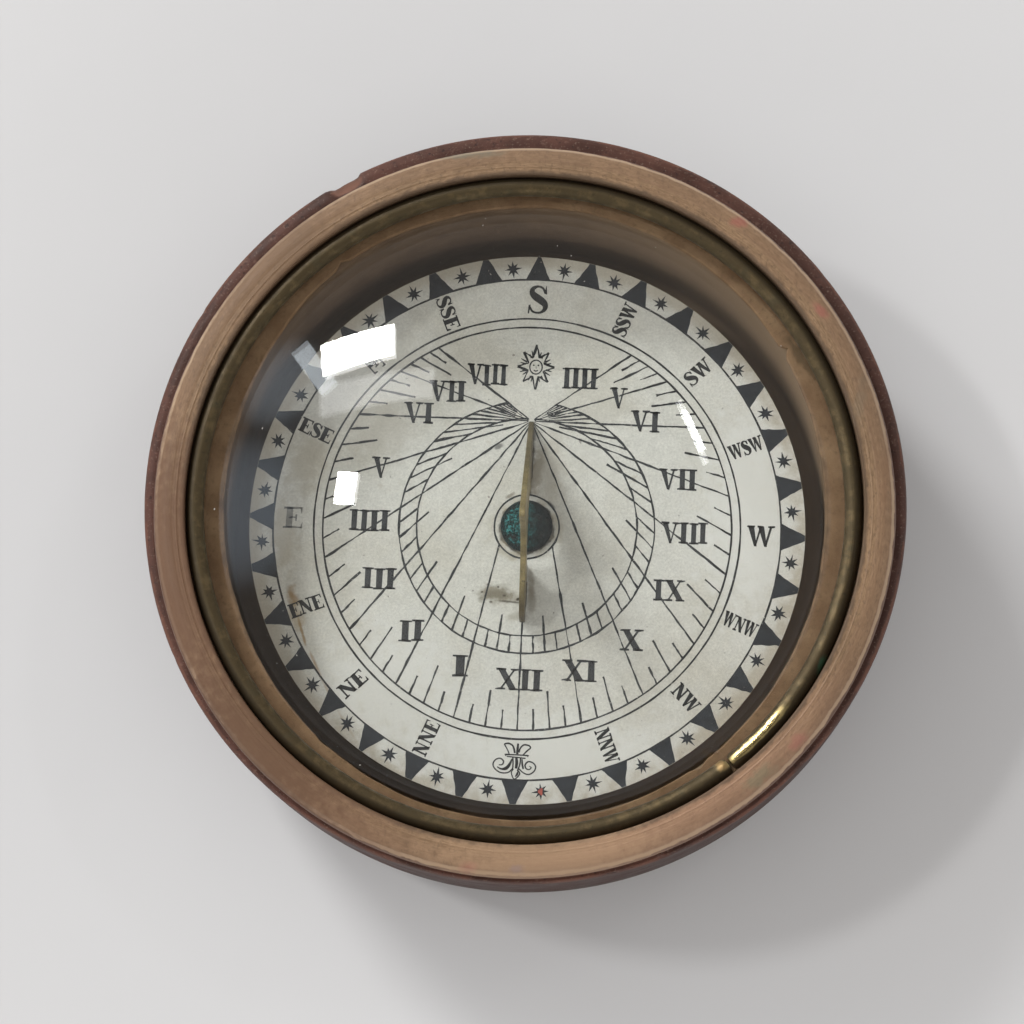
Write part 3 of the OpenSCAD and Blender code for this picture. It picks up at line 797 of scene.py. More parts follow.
def finish_wire():
    """Tarnished olive brass wire with long scratches along it, dirt and painted shade on its outer side under
    the rim, and rubbed brass with a painted highlight in a line at the lower right.
    """
    material, tree, shader, place = start_material("tarnished_wire_brass")
    streaks = rings_on(tree, place, 9000.0, 5.0)
    # Rubbed brass and a painted highlight: a gold line along the wire's inner top at the lower right
    rub_and_highlight = stain_and_painted_light_spot(tree, place, (0.0180, -0.0184), (0.0040, 0.003), 44, 0.6, 0.6, 500.0)
    track = band(tree, place, (RING_R - 0.32) * MM, (RING_R + 0.02) * MM, 0.00022, 0.0003)
    bright = calc(tree, "MULTIPLY", rub_and_highlight, track)
    brass = use(tree, "brass finish", Place=place, Clean=(0.135, 0.098, 0.048), Dull=(0.080, 0.058, 0.028),
                Wear=0.45, Green=0.05, Scale=900.0)
    color = mix(tree, span(tree, streaks, 0.5, 0.75, 0.0, 0.6), brass.outputs["Color"], (0.07, 0.056, 0.03))
    # Dirt and painted shade on the wire's outer side, where the rim shades it
    grime_and_shade = band(tree, place, (RING_R + 0.22) * MM, 0.03, 0.0003, 0.0004)
    color = tinted(tree, color, grime_and_shade, 0.7, (0.035, 0.026, 0.015))
    color = mix(tree, bright, color, (0.78, 0.62, 0.28))
    spot = stain_and_painted_light_spot(tree, place, (0.0232, -0.0128), (0.0011, 0.0007), 60, 0.6, 0.8, 1500.0)
    color = tinted(tree, color, spot, 0.8, (0.04, 0.12, 0.07))
    burr = stain_and_painted_light_spot(tree, place, (0.0151, -0.0204), (0.0005, 0.0007), 37, 0.5, 0.9, 2500.0)
    color = tinted(tree, color, burr, 0.85, (0.34, 0.225, 0.10))
    rough = calc(tree, "ADD", brass.outputs["Roughness"], span(tree, streaks, 0.4, 0.8, 0.1, 0.22))
    rough = calc(tree, "SUBTRACT", rough, calc(tree, "MULTIPLY", bright, 0.25), clamp=True)
    metallic = calc(tree, "ADD", 0.65, calc(tree, "MULTIPLY", bright, 0.35))
    wire_up(tree, shader, color, rough, metallic, height=streaks, depth=0.00003)
    return material


def finish_turned_brass():
    """Dull turned brass with fine rings."""
    material, tree, shader, place = start_material("dull_turned_brass")
    rings = rings_on(tree, place, 12000.0, 4.0)
    brass = use(tree, "brass finish", Place=place, Wear=0.55, Green=0.1, Scale=900.0)
    wire_up(tree, shader, brass.outputs["Color"], brass.outputs["Roughness"], brass.outputs["Metallic"],
            height=rings, depth=0.00001)
    return material


def finish_gnomon_brass():
    """Rolled brass plate: file strokes across it, tarnish, darker low down near the card, and darker at both
    ends; the darkening at the south end is painted shade, where the plate's shaded side is seen."""
    material, tree, shader, place = start_material("filed_gnomon_brass")
    strokes = noise(tree, vector(tree, "MULTIPLY", place, (1.0, 0.12, 1.0)).outputs[0], 7000.0, 3.0, 0.6)
    brass = use(tree, "brass finish", Place=place, Clean=(0.35, 0.275, 0.125), Dull=(0.23, 0.18, 0.078),
                Wear=0.5, Green=0.06, Scale=500.0)
    height = part_of(tree, place, 2)
    low_down = span(tree, height, DIAL_Z * MM, (DIAL_Z + 1.6) * MM, 0.7, 0.0)
    color = mix(tree, low_down, brass.outputs["Color"], (0.05, 0.042, 0.025))
    along = part_of(tree, place, 1)
    # Darker towards both ends; the south end's darkening is painted shade of the plate's shaded side
    north, south = span(tree, along, -0.0045, -0.0076, 0.0, 0.7), span(tree, along, 0.0022, 0.0050, 0.0, 0.6)
    color = mix(tree, north, color, (0.080, 0.062, 0.030))
    color = mix(tree, south, color, (0.085, 0.070, 0.040))
    rough = calc(tree, "ADD", brass.outputs["Roughness"], 0.08)
    metallic = calc(tree, "MULTIPLY", brass.outputs["Metallic"], 0.4)
    wire_up(tree, shader, color, rough, metallic, height=strokes, depth=0.000012)
    return material


def finish_cap_brass():
    """Dark cap brass under a crust of verdigris, thicker on the east side, with painted shade round its edge.
    """
    metal = bpy.context.scene.sundial_metal
    material, tree, shader, place = start_material("cap_verdigris")
    brass = use(tree, "brass finish", Place=place, Clean=(0.020, 0.018, 0.016), Dull=(0.006, 0.006, 0.006),
                Wear=0.5, Green=0.0, Scale=1100.0)
    side = part_of(tree, place, 0)
    toward_east = span(tree, side, -0.0010, 0.0012, 1.0, 0.06)
    crust = blotches(tree, place, 1500.0, 6.0, 0.34, 0.52)
    cover = calc(tree, "MULTIPLY", crust, toward_east)
    grain = noise(tree, place, 5600.0, 3.0, 0.6)
    deep = tuple(0.45 * c for c in metal.verdigris)
    green = mix(tree, span(tree, grain, 0.46, 0.58), deep, (0.055, 0.25, 0.25))
    color = mix(tree, cover, brass.outputs["Color"], green)
    pits = blotches(tree, place, 4600.0, 3.0, 0.52, 0.58)
    color = tinted(tree, color, pits, 0.75, (0.004, 0.007, 0.007))
    # Painted shade: the cap's edge turns nearly black, for the gap round its foot
    edge = band(tree, place, 0.00188, 0.003, 0.0002, 0.0003)
    color = tinted(tree, color, edge, 0.85, (0.010, 0.011, 0.011))
    rough = calc(tree, "ADD", 0.5, calc(tree, "MULTIPLY", cover, 0.35))
    wire_up(tree, shader, color, rough, 0.15, height=calc(tree, "ADD", grain, crust), depth=0.00006,
            specular=0.12)
    return material


# Plain finishes: two tones, roughness, metallic, scale of the pattern, depth of its bump, and its stretch
EVEN = (1, 1, 1)
PLAIN_FINISHES = {
    "polished_needle_steel": ((0.42, 0.43, 0.45), (0.60, 0.61, 0.63), 0.22, 1.0, 1500.0, 2e-6, (1, 1, 0.2)),
    "pressed_backing_board": ((0.20, 0.145, 0.10), (0.28, 0.21, 0.15), 0.85, 0.0, 1200.0, 3e-5, (1, 1, 0.3)),
    "blued_magnet_steel": ((0.035, 0.05, 0.11), (0.07, 0.085, 0.15), 0.3, 0.9, 500.0, 4e-6, (1, 0.15, 1)),
    "glued_strap_paper": ((0.48, 0.41, 0.27), (0.60, 0.53, 0.38), 0.8, 0.0, 1500.0, 2e-5, (1, 0.3, 1)),
    "dull_sealing_wax": ((0.24, 0.02, 0.016), (0.36, 0.045, 0.03), 0.42, 0.0, 700.0, 6e-5, EVEN),
    "polished_cap_jewel": ((0.20, 0.025, 0.02), (0.32, 0.05, 0.035), 0.12, 0.0, 1400.0, 1e-6, EVEN),
    "red_ink_blot": ((0.34, 0.05, 0.04), (0.48, 0.10, 0.07), 0.6, 0.0, 3000.0, 3e-6, EVEN),
    "pale_dust": ((0.32, 0.30, 0.27), (0.55, 0.53, 0.49), 0.9, 0.0, 3000.0, 1e-5, EVEN),
    "pale_floor": ((0.625, 0.628, 0.640), (0.650, 0.653, 0.665), 0.9, 0.0, 8.0, 1e-4, EVEN),
}


def finish_plain(name):
    """A material of the table: between two tones in a cloudy pattern, with a fine bump."""
    first, second, roughness, metallic, scale, depth, stretch = PLAIN_FINISHES[name]
    material, tree, shader, place = start_material(name)
    place = vector(tree, "MULTIPLY", place, stretch).outputs[0]
    cloud = noise(tree, place, scale, 5.0, 0.6)
    color = mix(tree, span(tree, cloud, 0.32, 0.68), first, second)
    grain = noise(tree, place, 6 * scale, 3.0, 0.6)
    rough = span(tree, grain, 0.2, 0.8, roughness - 0.08, roughness + 0.08)
    wire_up(tree, shader, color, rough, metallic, height=grain, depth=depth)
    return material


def finish_paper():
    """The printed card's paper."""
    material, tree, shader, place = start_material("aged_dial_paper")
    paper = use(tree, "aged paper", Place=place)
    wire_up(tree, shader, paper.outputs["Color"], 0.78, height=paper.outputs["Height"], depth=0.000008,
            specular=0.3)
    return material


def finish_ink(name, ink, worn_low, worn_high):
    """Printing ink, thin in places: where a fine noise is high the paper's own colour shows through. The
    letter at the east point is faded."""
    material, tree, shader, place = start_material(name)
    paper = use(tree, "aged paper", Place=place)
    tone = noise(tree, place, 900.0, 4.0, 0.6)
    color = mix(tree, span(tree, tone, 0.3, 0.75), ink, tuple(1.7 * c + 0.006 for c in ink))
    fine = noise(tree, place, 3800.0, 4.0, 0.7)
    worn = span(tree, fine, worn_low, worn_high, 0.0, 0.85)
    faded = stain_and_painted_light_spot(tree, place, (-0.0188, 0.0009), (0.0016, 0.0016), 0, 0.4, 0.9, 1200.0)
    worn = calc(tree, "MAXIMUM", worn, calc(tree, "MULTIPLY", faded, 0.36))
    color = mix(tree, worn, color, paper.outputs["Color"])
    wire_up(tree, shader, color, 0.62, height=fine, depth=0.000006, specular=0.35)
    return material


GROUP_MAKERS = (make_blotches, make_turning_lines, make_radial_band, make_stain_and_painted_light_spot, make_aged_paper,
                make_brass_finish)


# Case


def case_profile(case):
    """Turned outline from the middle of the base, up the outside, over the rim and down the chamber.
    It gives the points and, for each step between two points, the number of its material."""
    shoulder, belly = case.shoulder_h / MM, case.belly_h / MM
    mouth = SEAT_R - case.rim_w / MM
    bore = mouth - case.ledge_w / MM
    foot_in, foot_out, hollow = CASE_R - 9.5, CASE_R - 5.5, 0.4
    land = shoulder + SEAT_H
    edge_r, slope_w, lip_r, corner_r = 0.6, 1.5, 0.15, 1.5
    # The last ring of the floor is hidden under the bush
    under_bush = 3.2
    lacquered = [
        line((0, hollow), (foot_in - 0.1, hollow), 8, 0), [(foot_in, hollow - 0.08), (foot_in, 0.08)],
        line((foot_in + 0.08, 0), (foot_out, 0), 4, 0),
        arc((foot_out, belly), (CASE_R - foot_out, belly), -90, 0, 30)[1:],
        line((CASE_R, belly), (CASE_R, shoulder - edge_r), 14),
        arc((CASE_R - edge_r, shoulder - edge_r), (edge_r, edge_r), 0, 90, 9)[1:],
        line((CASE_R - edge_r, shoulder), (SEAT_R + 0.04, shoulder), 3)]
    bare = [
        [(SEAT_R, shoulder + 0.04)], line((SEAT_R, shoulder + 0.04), (SEAT_R, land), 7),
        arc((SEAT_R - slope_w, land), (slope_w, RIM_Z - land), 0, 90, 20)[1:],
        line((SEAT_R - slope_w, RIM_Z), (mouth + lip_r, RIM_Z), 11),
        arc((mouth + lip_r, RIM_Z - lip_r), (lip_r, lip_r), 90, 180, 3)[1:],
        line((mouth, RIM_Z - lip_r), (mouth, LEDGE_Z + 0.05), 8)]
    dark = [
        [(mouth - 0.05, LEDGE_Z)], line((mouth - 0.05, LEDGE_Z), (bore + 0.1, LEDGE_Z), 6),
        [(bore, LEDGE_Z - 0.1)], line((bore, LEDGE_Z - 0.1), (bore, FLOOR_Z + corner_r), 16),
        arc((bore - corner_r, FLOOR_Z + corner_r), (corner_r, corner_r), 0, -90, 7)[1:],
        line((bore - corner_r, FLOOR_Z), (under_bush, FLOOR_Z), 9),
        [(SPIGOT_R, FLOOR_Z), (SPIGOT_R, SPIGOT_Z), (0, SPIGOT_Z)]]
    counts = [sum(len(part) for part in parts) for parts in (lacquered, bare, dark)]
    points = np.concatenate([np.asarray(part, float) for part in lacquered + bare + dark])
    return points, np.repeat([0, 1, 2], counts)


# Nicks in the shoulder's edge: direction in degrees, width and depth in millimetres
NICKS = ((38, 0.7, 0.16), (71, 0.5, 0.12), (148, 0.8, 0.18), (203, 0.6, 0.2), (249, 0.9, 0.14),
         (291, 0.5, 0.16), (336, 0.7, 0.12), (12, 0.4, 0.14))


def worked_case(case):
    """Shape function of the case: tool marks as a drawn height for each ring of points, a slightly uneven
    wall, the chip and the nicks as dips that fall off with the distance from the shoulder's edge."""
    shoulder = case.shoulder_h / MM
    # Radii just outside the bore and just outside the mouth
    past_bore, past_mouth = 24.6, 26.6

    def shape(r, z, a):
        marks = np.random.default_rng(7).normal(size=(len(r), 1)) * case.tool_mark / MM
        outside = np.clip((r - past_bore) / 0.6, 0, 1) * np.where(z < RIM_Z - 0.02, 1, 0.4)
        uneven = 0.05 * waves(a, 11, (2, 3, 4)) * (r > SEAT_R - 0.5)
        r = r + marks * outside * (1 + 0.5 * waves(a, 3)) + uneven
        sway = np.clip((r - SEAT_R) / (CASE_R - SEAT_R), 0, 1) * np.clip((z - 2) / 8, 0, 1)
        r = r + sway * case.sway / MM * np.sin(a)
        z = z + np.where((r > past_mouth) & (z > shoulder - 0.2), 0.035 * waves(a, 5, (2, 3, 5)), 0)
        z = z + np.where((r > past_mouth) & (r < SEAT_R - 0.1) & (z > shoulder), 1.4 * marks, 0)
        for angle, width, depth in ((math.degrees(case.chip_angle), 2.3, 0.55), *NICKS):
            along = (np.degrees(a) - angle + 180) % 360 - 180
            along = np.radians(along) * CASE_R / (width / 2)
            ragged = 1 + 0.35 * np.sin(along * 5.0 + angle) + 0.2 * np.sin(along * 11.0)
            round_about = np.clip(1.25 - np.abs(along), 0, 1) ** 0.5
            edge = CASE_R + case.sway / MM * np.sin(a)
            close = np.exp(-((r - edge) ** 2 + (z - shoulder) ** 2) / (2 * (0.9 * depth + 0.15) ** 2))
            dip = depth * round_about * close * ragged
            r, z = r - dip, z - 0.55 * dip * (z > shoulder - 0.7)
        return r, z

    return shape


class OBJECT_OT_sundial_case(bpy.types.Operator):
    """Turns the wooden case: lacquered outside, bare rim for the lid, dark chamber"""
    bl_idname = "object.sundial_case"
    bl_label = "Case"

    def execute(self, context):
        case = context.scene.sundial_case
        points, kinds = case_profile(case)
        steps = 480
        thing = turned("turned_case", points, steps, worked_case(case), 50)
        # The faces at the two poles come last and by turns: lacquer at the base, dark wood at the floor
        slots = np.concatenate([np.repeat(kinds[1:len(points) - 2], steps), np.tile([0, 2], steps)])
        give(thing, "case", "case_wood", finish_lacquer(), finish_rim_wood(), finish_chamber_wood())
        thing.data.polygons.foreach_set("material_index", slots.astype(np.int32))
        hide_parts("case_body")
        return {"FINISHED"}


# Washer: radius of its inner edge, and its torn notches with direction in radians, half width and depth
WASHER_R = 24.0
NOTCHES = ((0.55, 0.5, 0.5), (2.2, 0.7, 0.35), (4.0, 0.9, 0.1), (5.3, 0.8, 0.3))


def torn_washer(r, z, a):
    """Shape function of the washer: its inner edge wanders by a tenth of a millimetre, has a few notches that
    run to a point, hangs over the bore at the west and the east, and is drawn back at the south-east."""
    edge = np.clip(25.0 - r, 0, 1)
    torn = sum(np.clip(1 - np.abs((a - at + math.pi) % TURN - math.pi) * WASHER_R / half, 0, 1) * depth
               for at, half, depth in NOTCHES)
    wander = 0.09 * waves(a, 21, (3, 7, 11, 19, 31, 47), 0.85)
    west = (a + 0.1 + math.pi) % TURN - math.pi
    hang = 0.42 * np.exp(-(west / 0.9) ** 2) - 0.4 * np.exp(-((a - 2.2) / 0.3) ** 2)
    return r + edge * (wander + torn - 0.33 * np.cos(2 * a) + 0.2 * np.cos(a) - hang), z


class OBJECT_OT_sundial_bedding(bpy.types.Operator):
    """Makes the ragged washer that the glass is bedded on"""
    bl_idname = "object.sundial_bedding"
    bl_label = "Bedding washer"

    def execute(self, context):
        outer, bottom, top = high("bedding_ring")[0], LEDGE_Z, high("bedding_ring")[2]
        profile = np.array([(WASHER_R, bottom), (outer, bottom), (outer, top - 0.05), (outer - 0.05, top),
                            (25.6, top), (24.9, top), (WASHER_R + 0.1, top), (WASHER_R, top - 0.12)])
        thing = turned_ring("bedding_washer", profile[::-1], 480, torn_washer)
        give(thing, "case", "bedding_board", finish_bedding())
        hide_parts("bedding_ring")
        return {"FINISHED"}


def dome(glass):
    """Height of the flat edge's top, radius of the dome, and radius and centre height of its sphere, which
    passes through the top and through the circle where the flat edge begins."""
    edge_top = GLASS_Z + glass.edge_t / MM
    dome_r = GLASS_R - glass.edge_w / MM
    rise = GLASS_TOP - edge_top
    sphere_r = (dome_r ** 2 + rise ** 2) / (2 * rise)
    return edge_top, dome_r, sphere_r, GLASS_TOP - sphere_r


def glass_profile(glass):
    """Outline from the middle of the underside to the top: the inner sphere, the flat edge with its rounded
    corners, and the outer sphere about the same centre."""
    edge_top, dome_r, sphere_r, centre = dome(glass)
    inner_r = sphere_r - glass.thickness / MM
    outer_end = 90 - math.degrees(math.asin(dome_r / sphere_r))
    inner_end = math.degrees(math.asin((GLASS_Z - centre) / inner_r))
    corner = 0.15
    side = GLASS_R - corner
    return np.concatenate([
        arc((0, centre), (inner_r, inner_r), 90, inner_end, 80),
        line((inner_r * math.cos(math.radians(inner_end)), GLASS_Z), (side, GLASS_Z), 4),
        arc((side, GLASS_Z + corner), (corner, corner), -90, 0, 3),
        arc((side, edge_top - corner), (corner, corner), 0, 90, 3),
        line((side, edge_top), (dome_r + 0.12, edge_top), 4),
        arc((0, centre), (sphere_r, sphere_r), outer_end, 90, 80)])


class OBJECT_OT_sundial_glass(bpy.types.Operator):
    """Makes the domed glass"""
    bl_idname = "object.sundial_glass"
    bl_label = "Domed glass"

    def execute(self, context):
        thing = turned("domed_glass", glass_profile(context.scene.sundial_glass), 360, None, 20)
        give(thing, "case", "crystal_glass", finish_glass())
        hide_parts("crystal")
        return {"FINISHED"}


def bent_wire():
    """Split ring of round wire: a circle carried round the z axis from one side of the split to the other.
    The wire thins at its ends, has a bead before the second one, sways in and out, and lifts off in places,
    most at that second end."""
    steps, sides = 520, 20
    split, half_gap = math.radians(-52), 0.15 / RING_R
    t = np.linspace(0, 1, steps)
    path = split + half_gap + t * (TURN - 2 * half_gap)
    near_end = np.minimum(t, 1 - t) * TURN * RING_R
    to_second = (1 - t) * TURN * RING_R
    radius = (WIRE_R - 0.012) * np.sqrt(np.clip(near_end / 0.06, 0.7, 1))
    radius = radius - 0.03 + 0.03 * np.exp(-((to_second - 0.25) / 0.2) ** 2)
    sway = 0.02 * waves(path, 31, (3, 5, 9, 14))
    ends_lift = 0.05 * np.exp(-((near_end - 0.2) / 3.0) ** 2) * np.sign(t - 0.5)
    lift = 0.03 * waves(path, 32, (2, 4, 7)) + ends_lift
    b = np.linspace(0, TURN, sides, endpoint=False)
    r = (RING_R - 0.02 + sway)[:, None] + radius[:, None] * np.cos(b)[None, :]
    z = (WIRE_Z + np.maximum(lift, 0))[:, None] + radius[:, None] * np.sin(b)[None, :]
    grid = np.stack([r * np.cos(path)[:, None], r * np.sin(path)[:, None], z], -1).reshape(-1, 3)
    faces = [face[::-1] for face in grid_faces(steps, sides, close_columns=True)]
    faces.append(list(range(sides)))
    faces.append(list(range(steps * sides - 1, (steps - 1) * sides - 1, -1)))
    thing = finish_mesh("retaining_wire", grid, faces, 40)
    face_outwards(thing)
    return thing


class OBJECT_OT_sundial_wire(bpy.types.Operator):
    """Bends the split brass wire that holds the glass"""
    bl_idname = "object.sundial_wire"
    bl_label = "Retaining wire"

    def execute(self, context):
        thing = bent_wire()
        give(thing, "case", "wire_brass", finish_wire())
        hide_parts("retaining_ring")
        return {"FINISHED"}


class OBJECT_OT_sundial_pivot(bpy.types.Operator):
    """Finishes the bush and the needle that the card turns on"""
    bl_idname = "object.sundial_pivot"
    bl_label = "Pivot"

    def execute(self, context):
        bush = refined_copy("pivot_bush", "turned_bush", 0.12)
        give(bush, "case", "turned_brass", finish_turned_brass())
        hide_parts("pivot_bush")
        dress("pivot_needle", finish_plain("polished_needle_steel"))
        return {"FINISHED"}


# Card


class OBJECT_OT_sundial_card(bpy.types.Operator):
    """Finishes the card and what hangs under it: board, magnet, spacer, collar, straps and wax"""
    bl_idname = "object.sundial_card"
    bl_label = "Card"

    def execute(self, context):
        dress("dial_card", finish_paper())
        dress("card_backing", finish_plain("pressed_backing_board"))
        magnet = refined_copy("magnet_needle", "blued_magnet", 0.06)
        give(magnet, "card", "magnet_steel", finish_plain("blued_magnet_steel"))
        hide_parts("magnet_needle")
        brass = bpy.data.materials["dull_turned_brass"]
        for node, name in (("needle_spacer", "turned_spacer"), ("cap_collar", "turned_collar")):
            ring = refined_copy(node, name, 0.05)
            give(ring, "card", "turned_brass", brass)
            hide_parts(node)
        paper = finish_plain("glued_strap_paper")
        for node in ("needle_strap_north", "needle_strap_south"):
            dress(node, paper)
        dress("balance_wax", finish_plain("dull_sealing_wax"))
        dress("cap_jewel", finish_plain("polished_cap_jewel"))
        return {"FINISHED"}


class OBJECT_OT_sundial_gnomon(bpy.types.Operator):
    """Finishes the gnomon plate with filed edges"""
    bl_idname = "object.sundial_gnomon"
    bl_label = "Gnomon"

    def execute(self, context):
        plate = refined_copy("gnomon", "gnomon_plate", 0.07)
        give(plate, "card", "plate_brass", finish_gnomon_brass())
        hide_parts("gnomon")
        return {"FINISHED"}


class OBJECT_OT_sundial_cap(bpy.types.Operator):
    """Finishes the cap over the pivot"""
    bl_idname = "object.sundial_cap"
    bl_label = "Cap"

    def execute(self, context):
        cap = refined_copy("card_cap", "pivot_cap", 0.09)
        give(cap, "card", "cap_brass", finish_cap_brass())
        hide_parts("card_cap")
        return {"FINISHED"}


# Printing on the card. Its shapes are drawn in millimetres on the unturned dial, south towards +y.


# The ink reaches this far into the paper
INK_FOOT = 0.004


def dial_mesh(name, strokes, patches, height, material):
    """One thin solid of ink. A stroke is a path with half widths: a flat bar swept along it, closed or with
    flat ends. A patch is a closed outline with a wall down to the paper."""
    dial = bpy.context.scene.sundial_dial
    bottom, top = DIAL_Z - INK_FOOT, DIAL_Z + height
    vertices, faces, count = [], [], 0
    for path, half, closed in strokes:
        path = np.asarray(path, float)
        if closed:
            ahead, behind = np.roll(path, -1, 0), np.roll(path, 1, 0)
        else:
            ahead = np.concatenate([path[1:], path[-1:]])
            behind = np.concatenate([path[:1], path[:-1]])
        run = ahead - behind
        side = np.stack([-run[:, 1], run[:, 0]], -1) / np.linalg.norm(run, axis=1)[:, None]
        left, right = path + side * half[:, None], path - side * half[:, None]
        n = len(path)
        corners = [np.column_stack([edge, np.full(n, z)])
                   for edge, z in ((left, top), (left, bottom), (right, bottom), (right, top))]
        vertices.append(np.stack(corners, 1).reshape(-1, 3))
        faces += grid_faces(n, 4, closed, True, count)
        if not closed:
            faces.append([count + 3, count + 2, count + 1, count])
            faces.append([count + 4 * n - 4 + k for k in range(4)])
        count += 4 * n
    for outline in patches:
        outline = np.asarray(outline, float)
        x, y = outline[:, 0], outline[:, 1]
        if np.sum(x * np.roll(y, -1) - y * np.roll(x, -1)) < 0:
            outline = outline[::-1]
        n = len(outline)
        vertices.append(np.concatenate([np.column_stack([outline, np.full(n, z)]) for z in (bottom, top)]))
        faces.append([count + n + k for k in range(n)])
        faces.append([count + k for k in reversed(range(n))])
        faces += [[count + k, count + (k + 1) % n, count + n + (k + 1) % n, count + n + k] for k in range(n)]
        count += 2 * n
    grid = np.concatenate(vertices)
    c, s = math.cos(dial.heading), math.sin(dial.heading)
    grid[:, :2] = grid[:, :2] @ np.array([[c, s], [-s, c]])
    give(finish_mesh(name, grid, faces), "card", "dial_paper", material)


def inked(path, half, draw, closed=False, uneven=0.42, sway=0.022):
    """A printed stroke: its width swells and thins, and its path sways, by smoothed drawn noise."""
    path = np.asarray(path, float)
    n = len(path)
    smooth = np.ones(3) / 3
    if closed:
        turn = np.linspace(0, TURN, n, endpoint=False)
        swell = waves(turn, draw.integers(1 << 30), (5, 9, 17, 31, 53, 89), 0.9)
        shift = waves(turn, draw.integers(1 << 30), (3, 7, 13, 29, 47), 0.85)
    else:
        swell = np.convolve(draw.normal(size=n + 2), smooth, "valid")
        shift = np.convolve(draw.normal(size=n + 2), smooth, "valid")
    half = half * np.clip(1 + uneven * swell, 0.35, 1.8)
    ahead = np.roll(path, -1, 0) - np.roll(path, 1, 0)
    if not closed and n > 2:
        ahead[0], ahead[-1] = path[1] - path[0], path[-1] - path[-2]
    elif not closed:
        ahead[:] = path[-1] - path[0]
    side = np.stack([-ahead[:, 1], ahead[:, 0]], -1) / np.linalg.norm(ahead, axis=1)[:, None]
    return path + side * (sway * shift)[:, None], half, closed


def circle(radius, start=0.0, end=360.0, step=0.35):
    """Points of a dial circle from one bearing to another, clockwise from south as the dial is seen."""
    closed = end - start >= 360
    count = max(8, int(radius * math.radians(end - start) / step))
    a = np.radians(np.linspace(start, end, count, endpoint=not closed))
    return np.stack([radius * np.sin(a), radius * np.cos(a)], -1)


def hour_angle(hours, latitude):
    """Angle of an hour line from the noon line: its tangent is that of the hour angle times sin(latitude)."""
    h = math.radians(15 * hours)
    return math.atan2(math.sin(latitude) * math.sin(h), math.cos(h))


def ray(dial, hours):
    """Start and direction of the hour line that many hours from noon, morning hours towards the west."""
    angle = hour_angle(hours, dial.latitude)
    return np.array([0, dial.foot_reach / MM]), np.array([math.sin(angle), -math.cos(angle)])


def reach(start, direction, radius):
    """Distance along a ray to a circle about the pivot."""
    along = start @ direction
    return -along + math.sqrt(along ** 2 - start @ start + radius ** 2)


def bearing(point):
    """Bearing of a dial point from south, in degrees towards the west."""
    return math.degrees(math.atan2(point[0], point[1]))


def dial_spot(share, angle):
    """Dial point at a share of the card's radius and at a bearing in radians."""
    return share * CARD_R * np.array([math.sin(angle), math.cos(angle)])


# Radii of the printed circles, and of the rings that the numerals, letters and stars stand on, as shares of
# the card's
CENTRE_RING, SCALE_IN, SCALE_OUT, HOUR_RING = 0.117, 0.397, 0.460, 0.736
LETTER_RING, BORDER_RING = 0.768, 0.914
NUMERAL_RING, POINT_RING, STAR_RING = 0.567, 0.842, 0.955
# The dial runs from four in the morning to eight in the evening
LAST_HOUR = 8
# Half width of a printed line, and lengths of the strokes between the hours, in millimetres
HAIR = 0.074
OUTER_HALF, OUTER_QUARTER, INNER_HALF = 3.05, 1.6, 1.35


class OBJECT_OT_sundial_lines(bpy.types.Operator):
    """Prints the circles, the hour lines and the quarter-hour scales"""
    bl_idname = "object.sundial_lines"
    bl_label = "Circles, hour lines and scales"

    def execute(self, context):
        dial = context.scene.sundial_dial
        draw = np.random.default_rng(41)
        ink = finish_ink("printed_line_ink", tuple(dial.ink), 0.61, 0.72)
        start, way = ray(dial, LAST_HOUR)
        ends = {share: bearing(start + way * reach(start, way, share * CARD_R))
                for share in (SCALE_IN, SCALE_OUT)}
        rings = [inked(circle(share * CARD_R), HAIR, draw, True, 0.4, 0.025)
                 for share in (CENTRE_RING, HOUR_RING, LETTER_RING, BORDER_RING)]
        rings += [inked(circle(share * CARD_R, edge, 360 - edge), HAIR, draw, False, 0.4)
                  for share, edge in ends.items()]
        dial_mesh("printed_circles", rings, [], 0.010, ink)
        lines = []
        for hour in range(-LAST_HOUR, LAST_HOUR + 1):
            start, way = ray(dial, hour)
            # Noon and its neighbours begin at the centre ring, the others close to the style's foot
            first = reach(start, way, CENTRE_RING * CARD_R) if abs(hour) <= 1 else 0.25
            end = reach(start, way, HOUR_RING * CARD_R)
            t = np.linspace(first, end, max(6, int((end - first) / 0.28)))[:, None]
            lines.append(inked(start + way * t, np.minimum(HAIR, 0.030 + 0.018 * t[:, 0]), draw))
        dial_mesh("printed_hour_lines", lines, [], 0.012, ink)
        outer, inner = [], []
        for quarter in range(-4 * LAST_HOUR, 4 * LAST_HOUR + 1):
            if quarter % 4 == 0:
                continue
            start, way = ray(dial, quarter / 4)
            half_hour = quarter % 2 == 0
            end = reach(start, way, HOUR_RING * CARD_R)
            length = (OUTER_HALF if half_hour else OUTER_QUARTER) * draw.uniform(0.93, 1.07)
            outer.append(inked(start + way * np.linspace(end - length, end, 12)[:, None], HAIR, draw))
            end = reach(start, way, SCALE_OUT * CARD_R)
            longer = INNER_HALF * draw.uniform(0.9, 1.15) if half_hour else 0
            first = reach(start, way, SCALE_IN * CARD_R) - longer
            # Where the strokes would run together at the foot, they stop short of it
            t = np.linspace(max(first, 0.9 + 0.5 * (quarter % 2)), end, 12)[:, None]
            inner.append(inked(start + way * t, np.minimum(HAIR, 0.012 + 0.0165 * t[:, 0]), draw))
        dial_mesh("printed_outer_scale", outer, [], 0.011, ink)
        dial_mesh("printed_inner_scale", inner, [], 0.011, ink)
        return {"FINISHED"}


BORDER_POINTS = 32
POINT_STEP = 360 / BORDER_POINTS


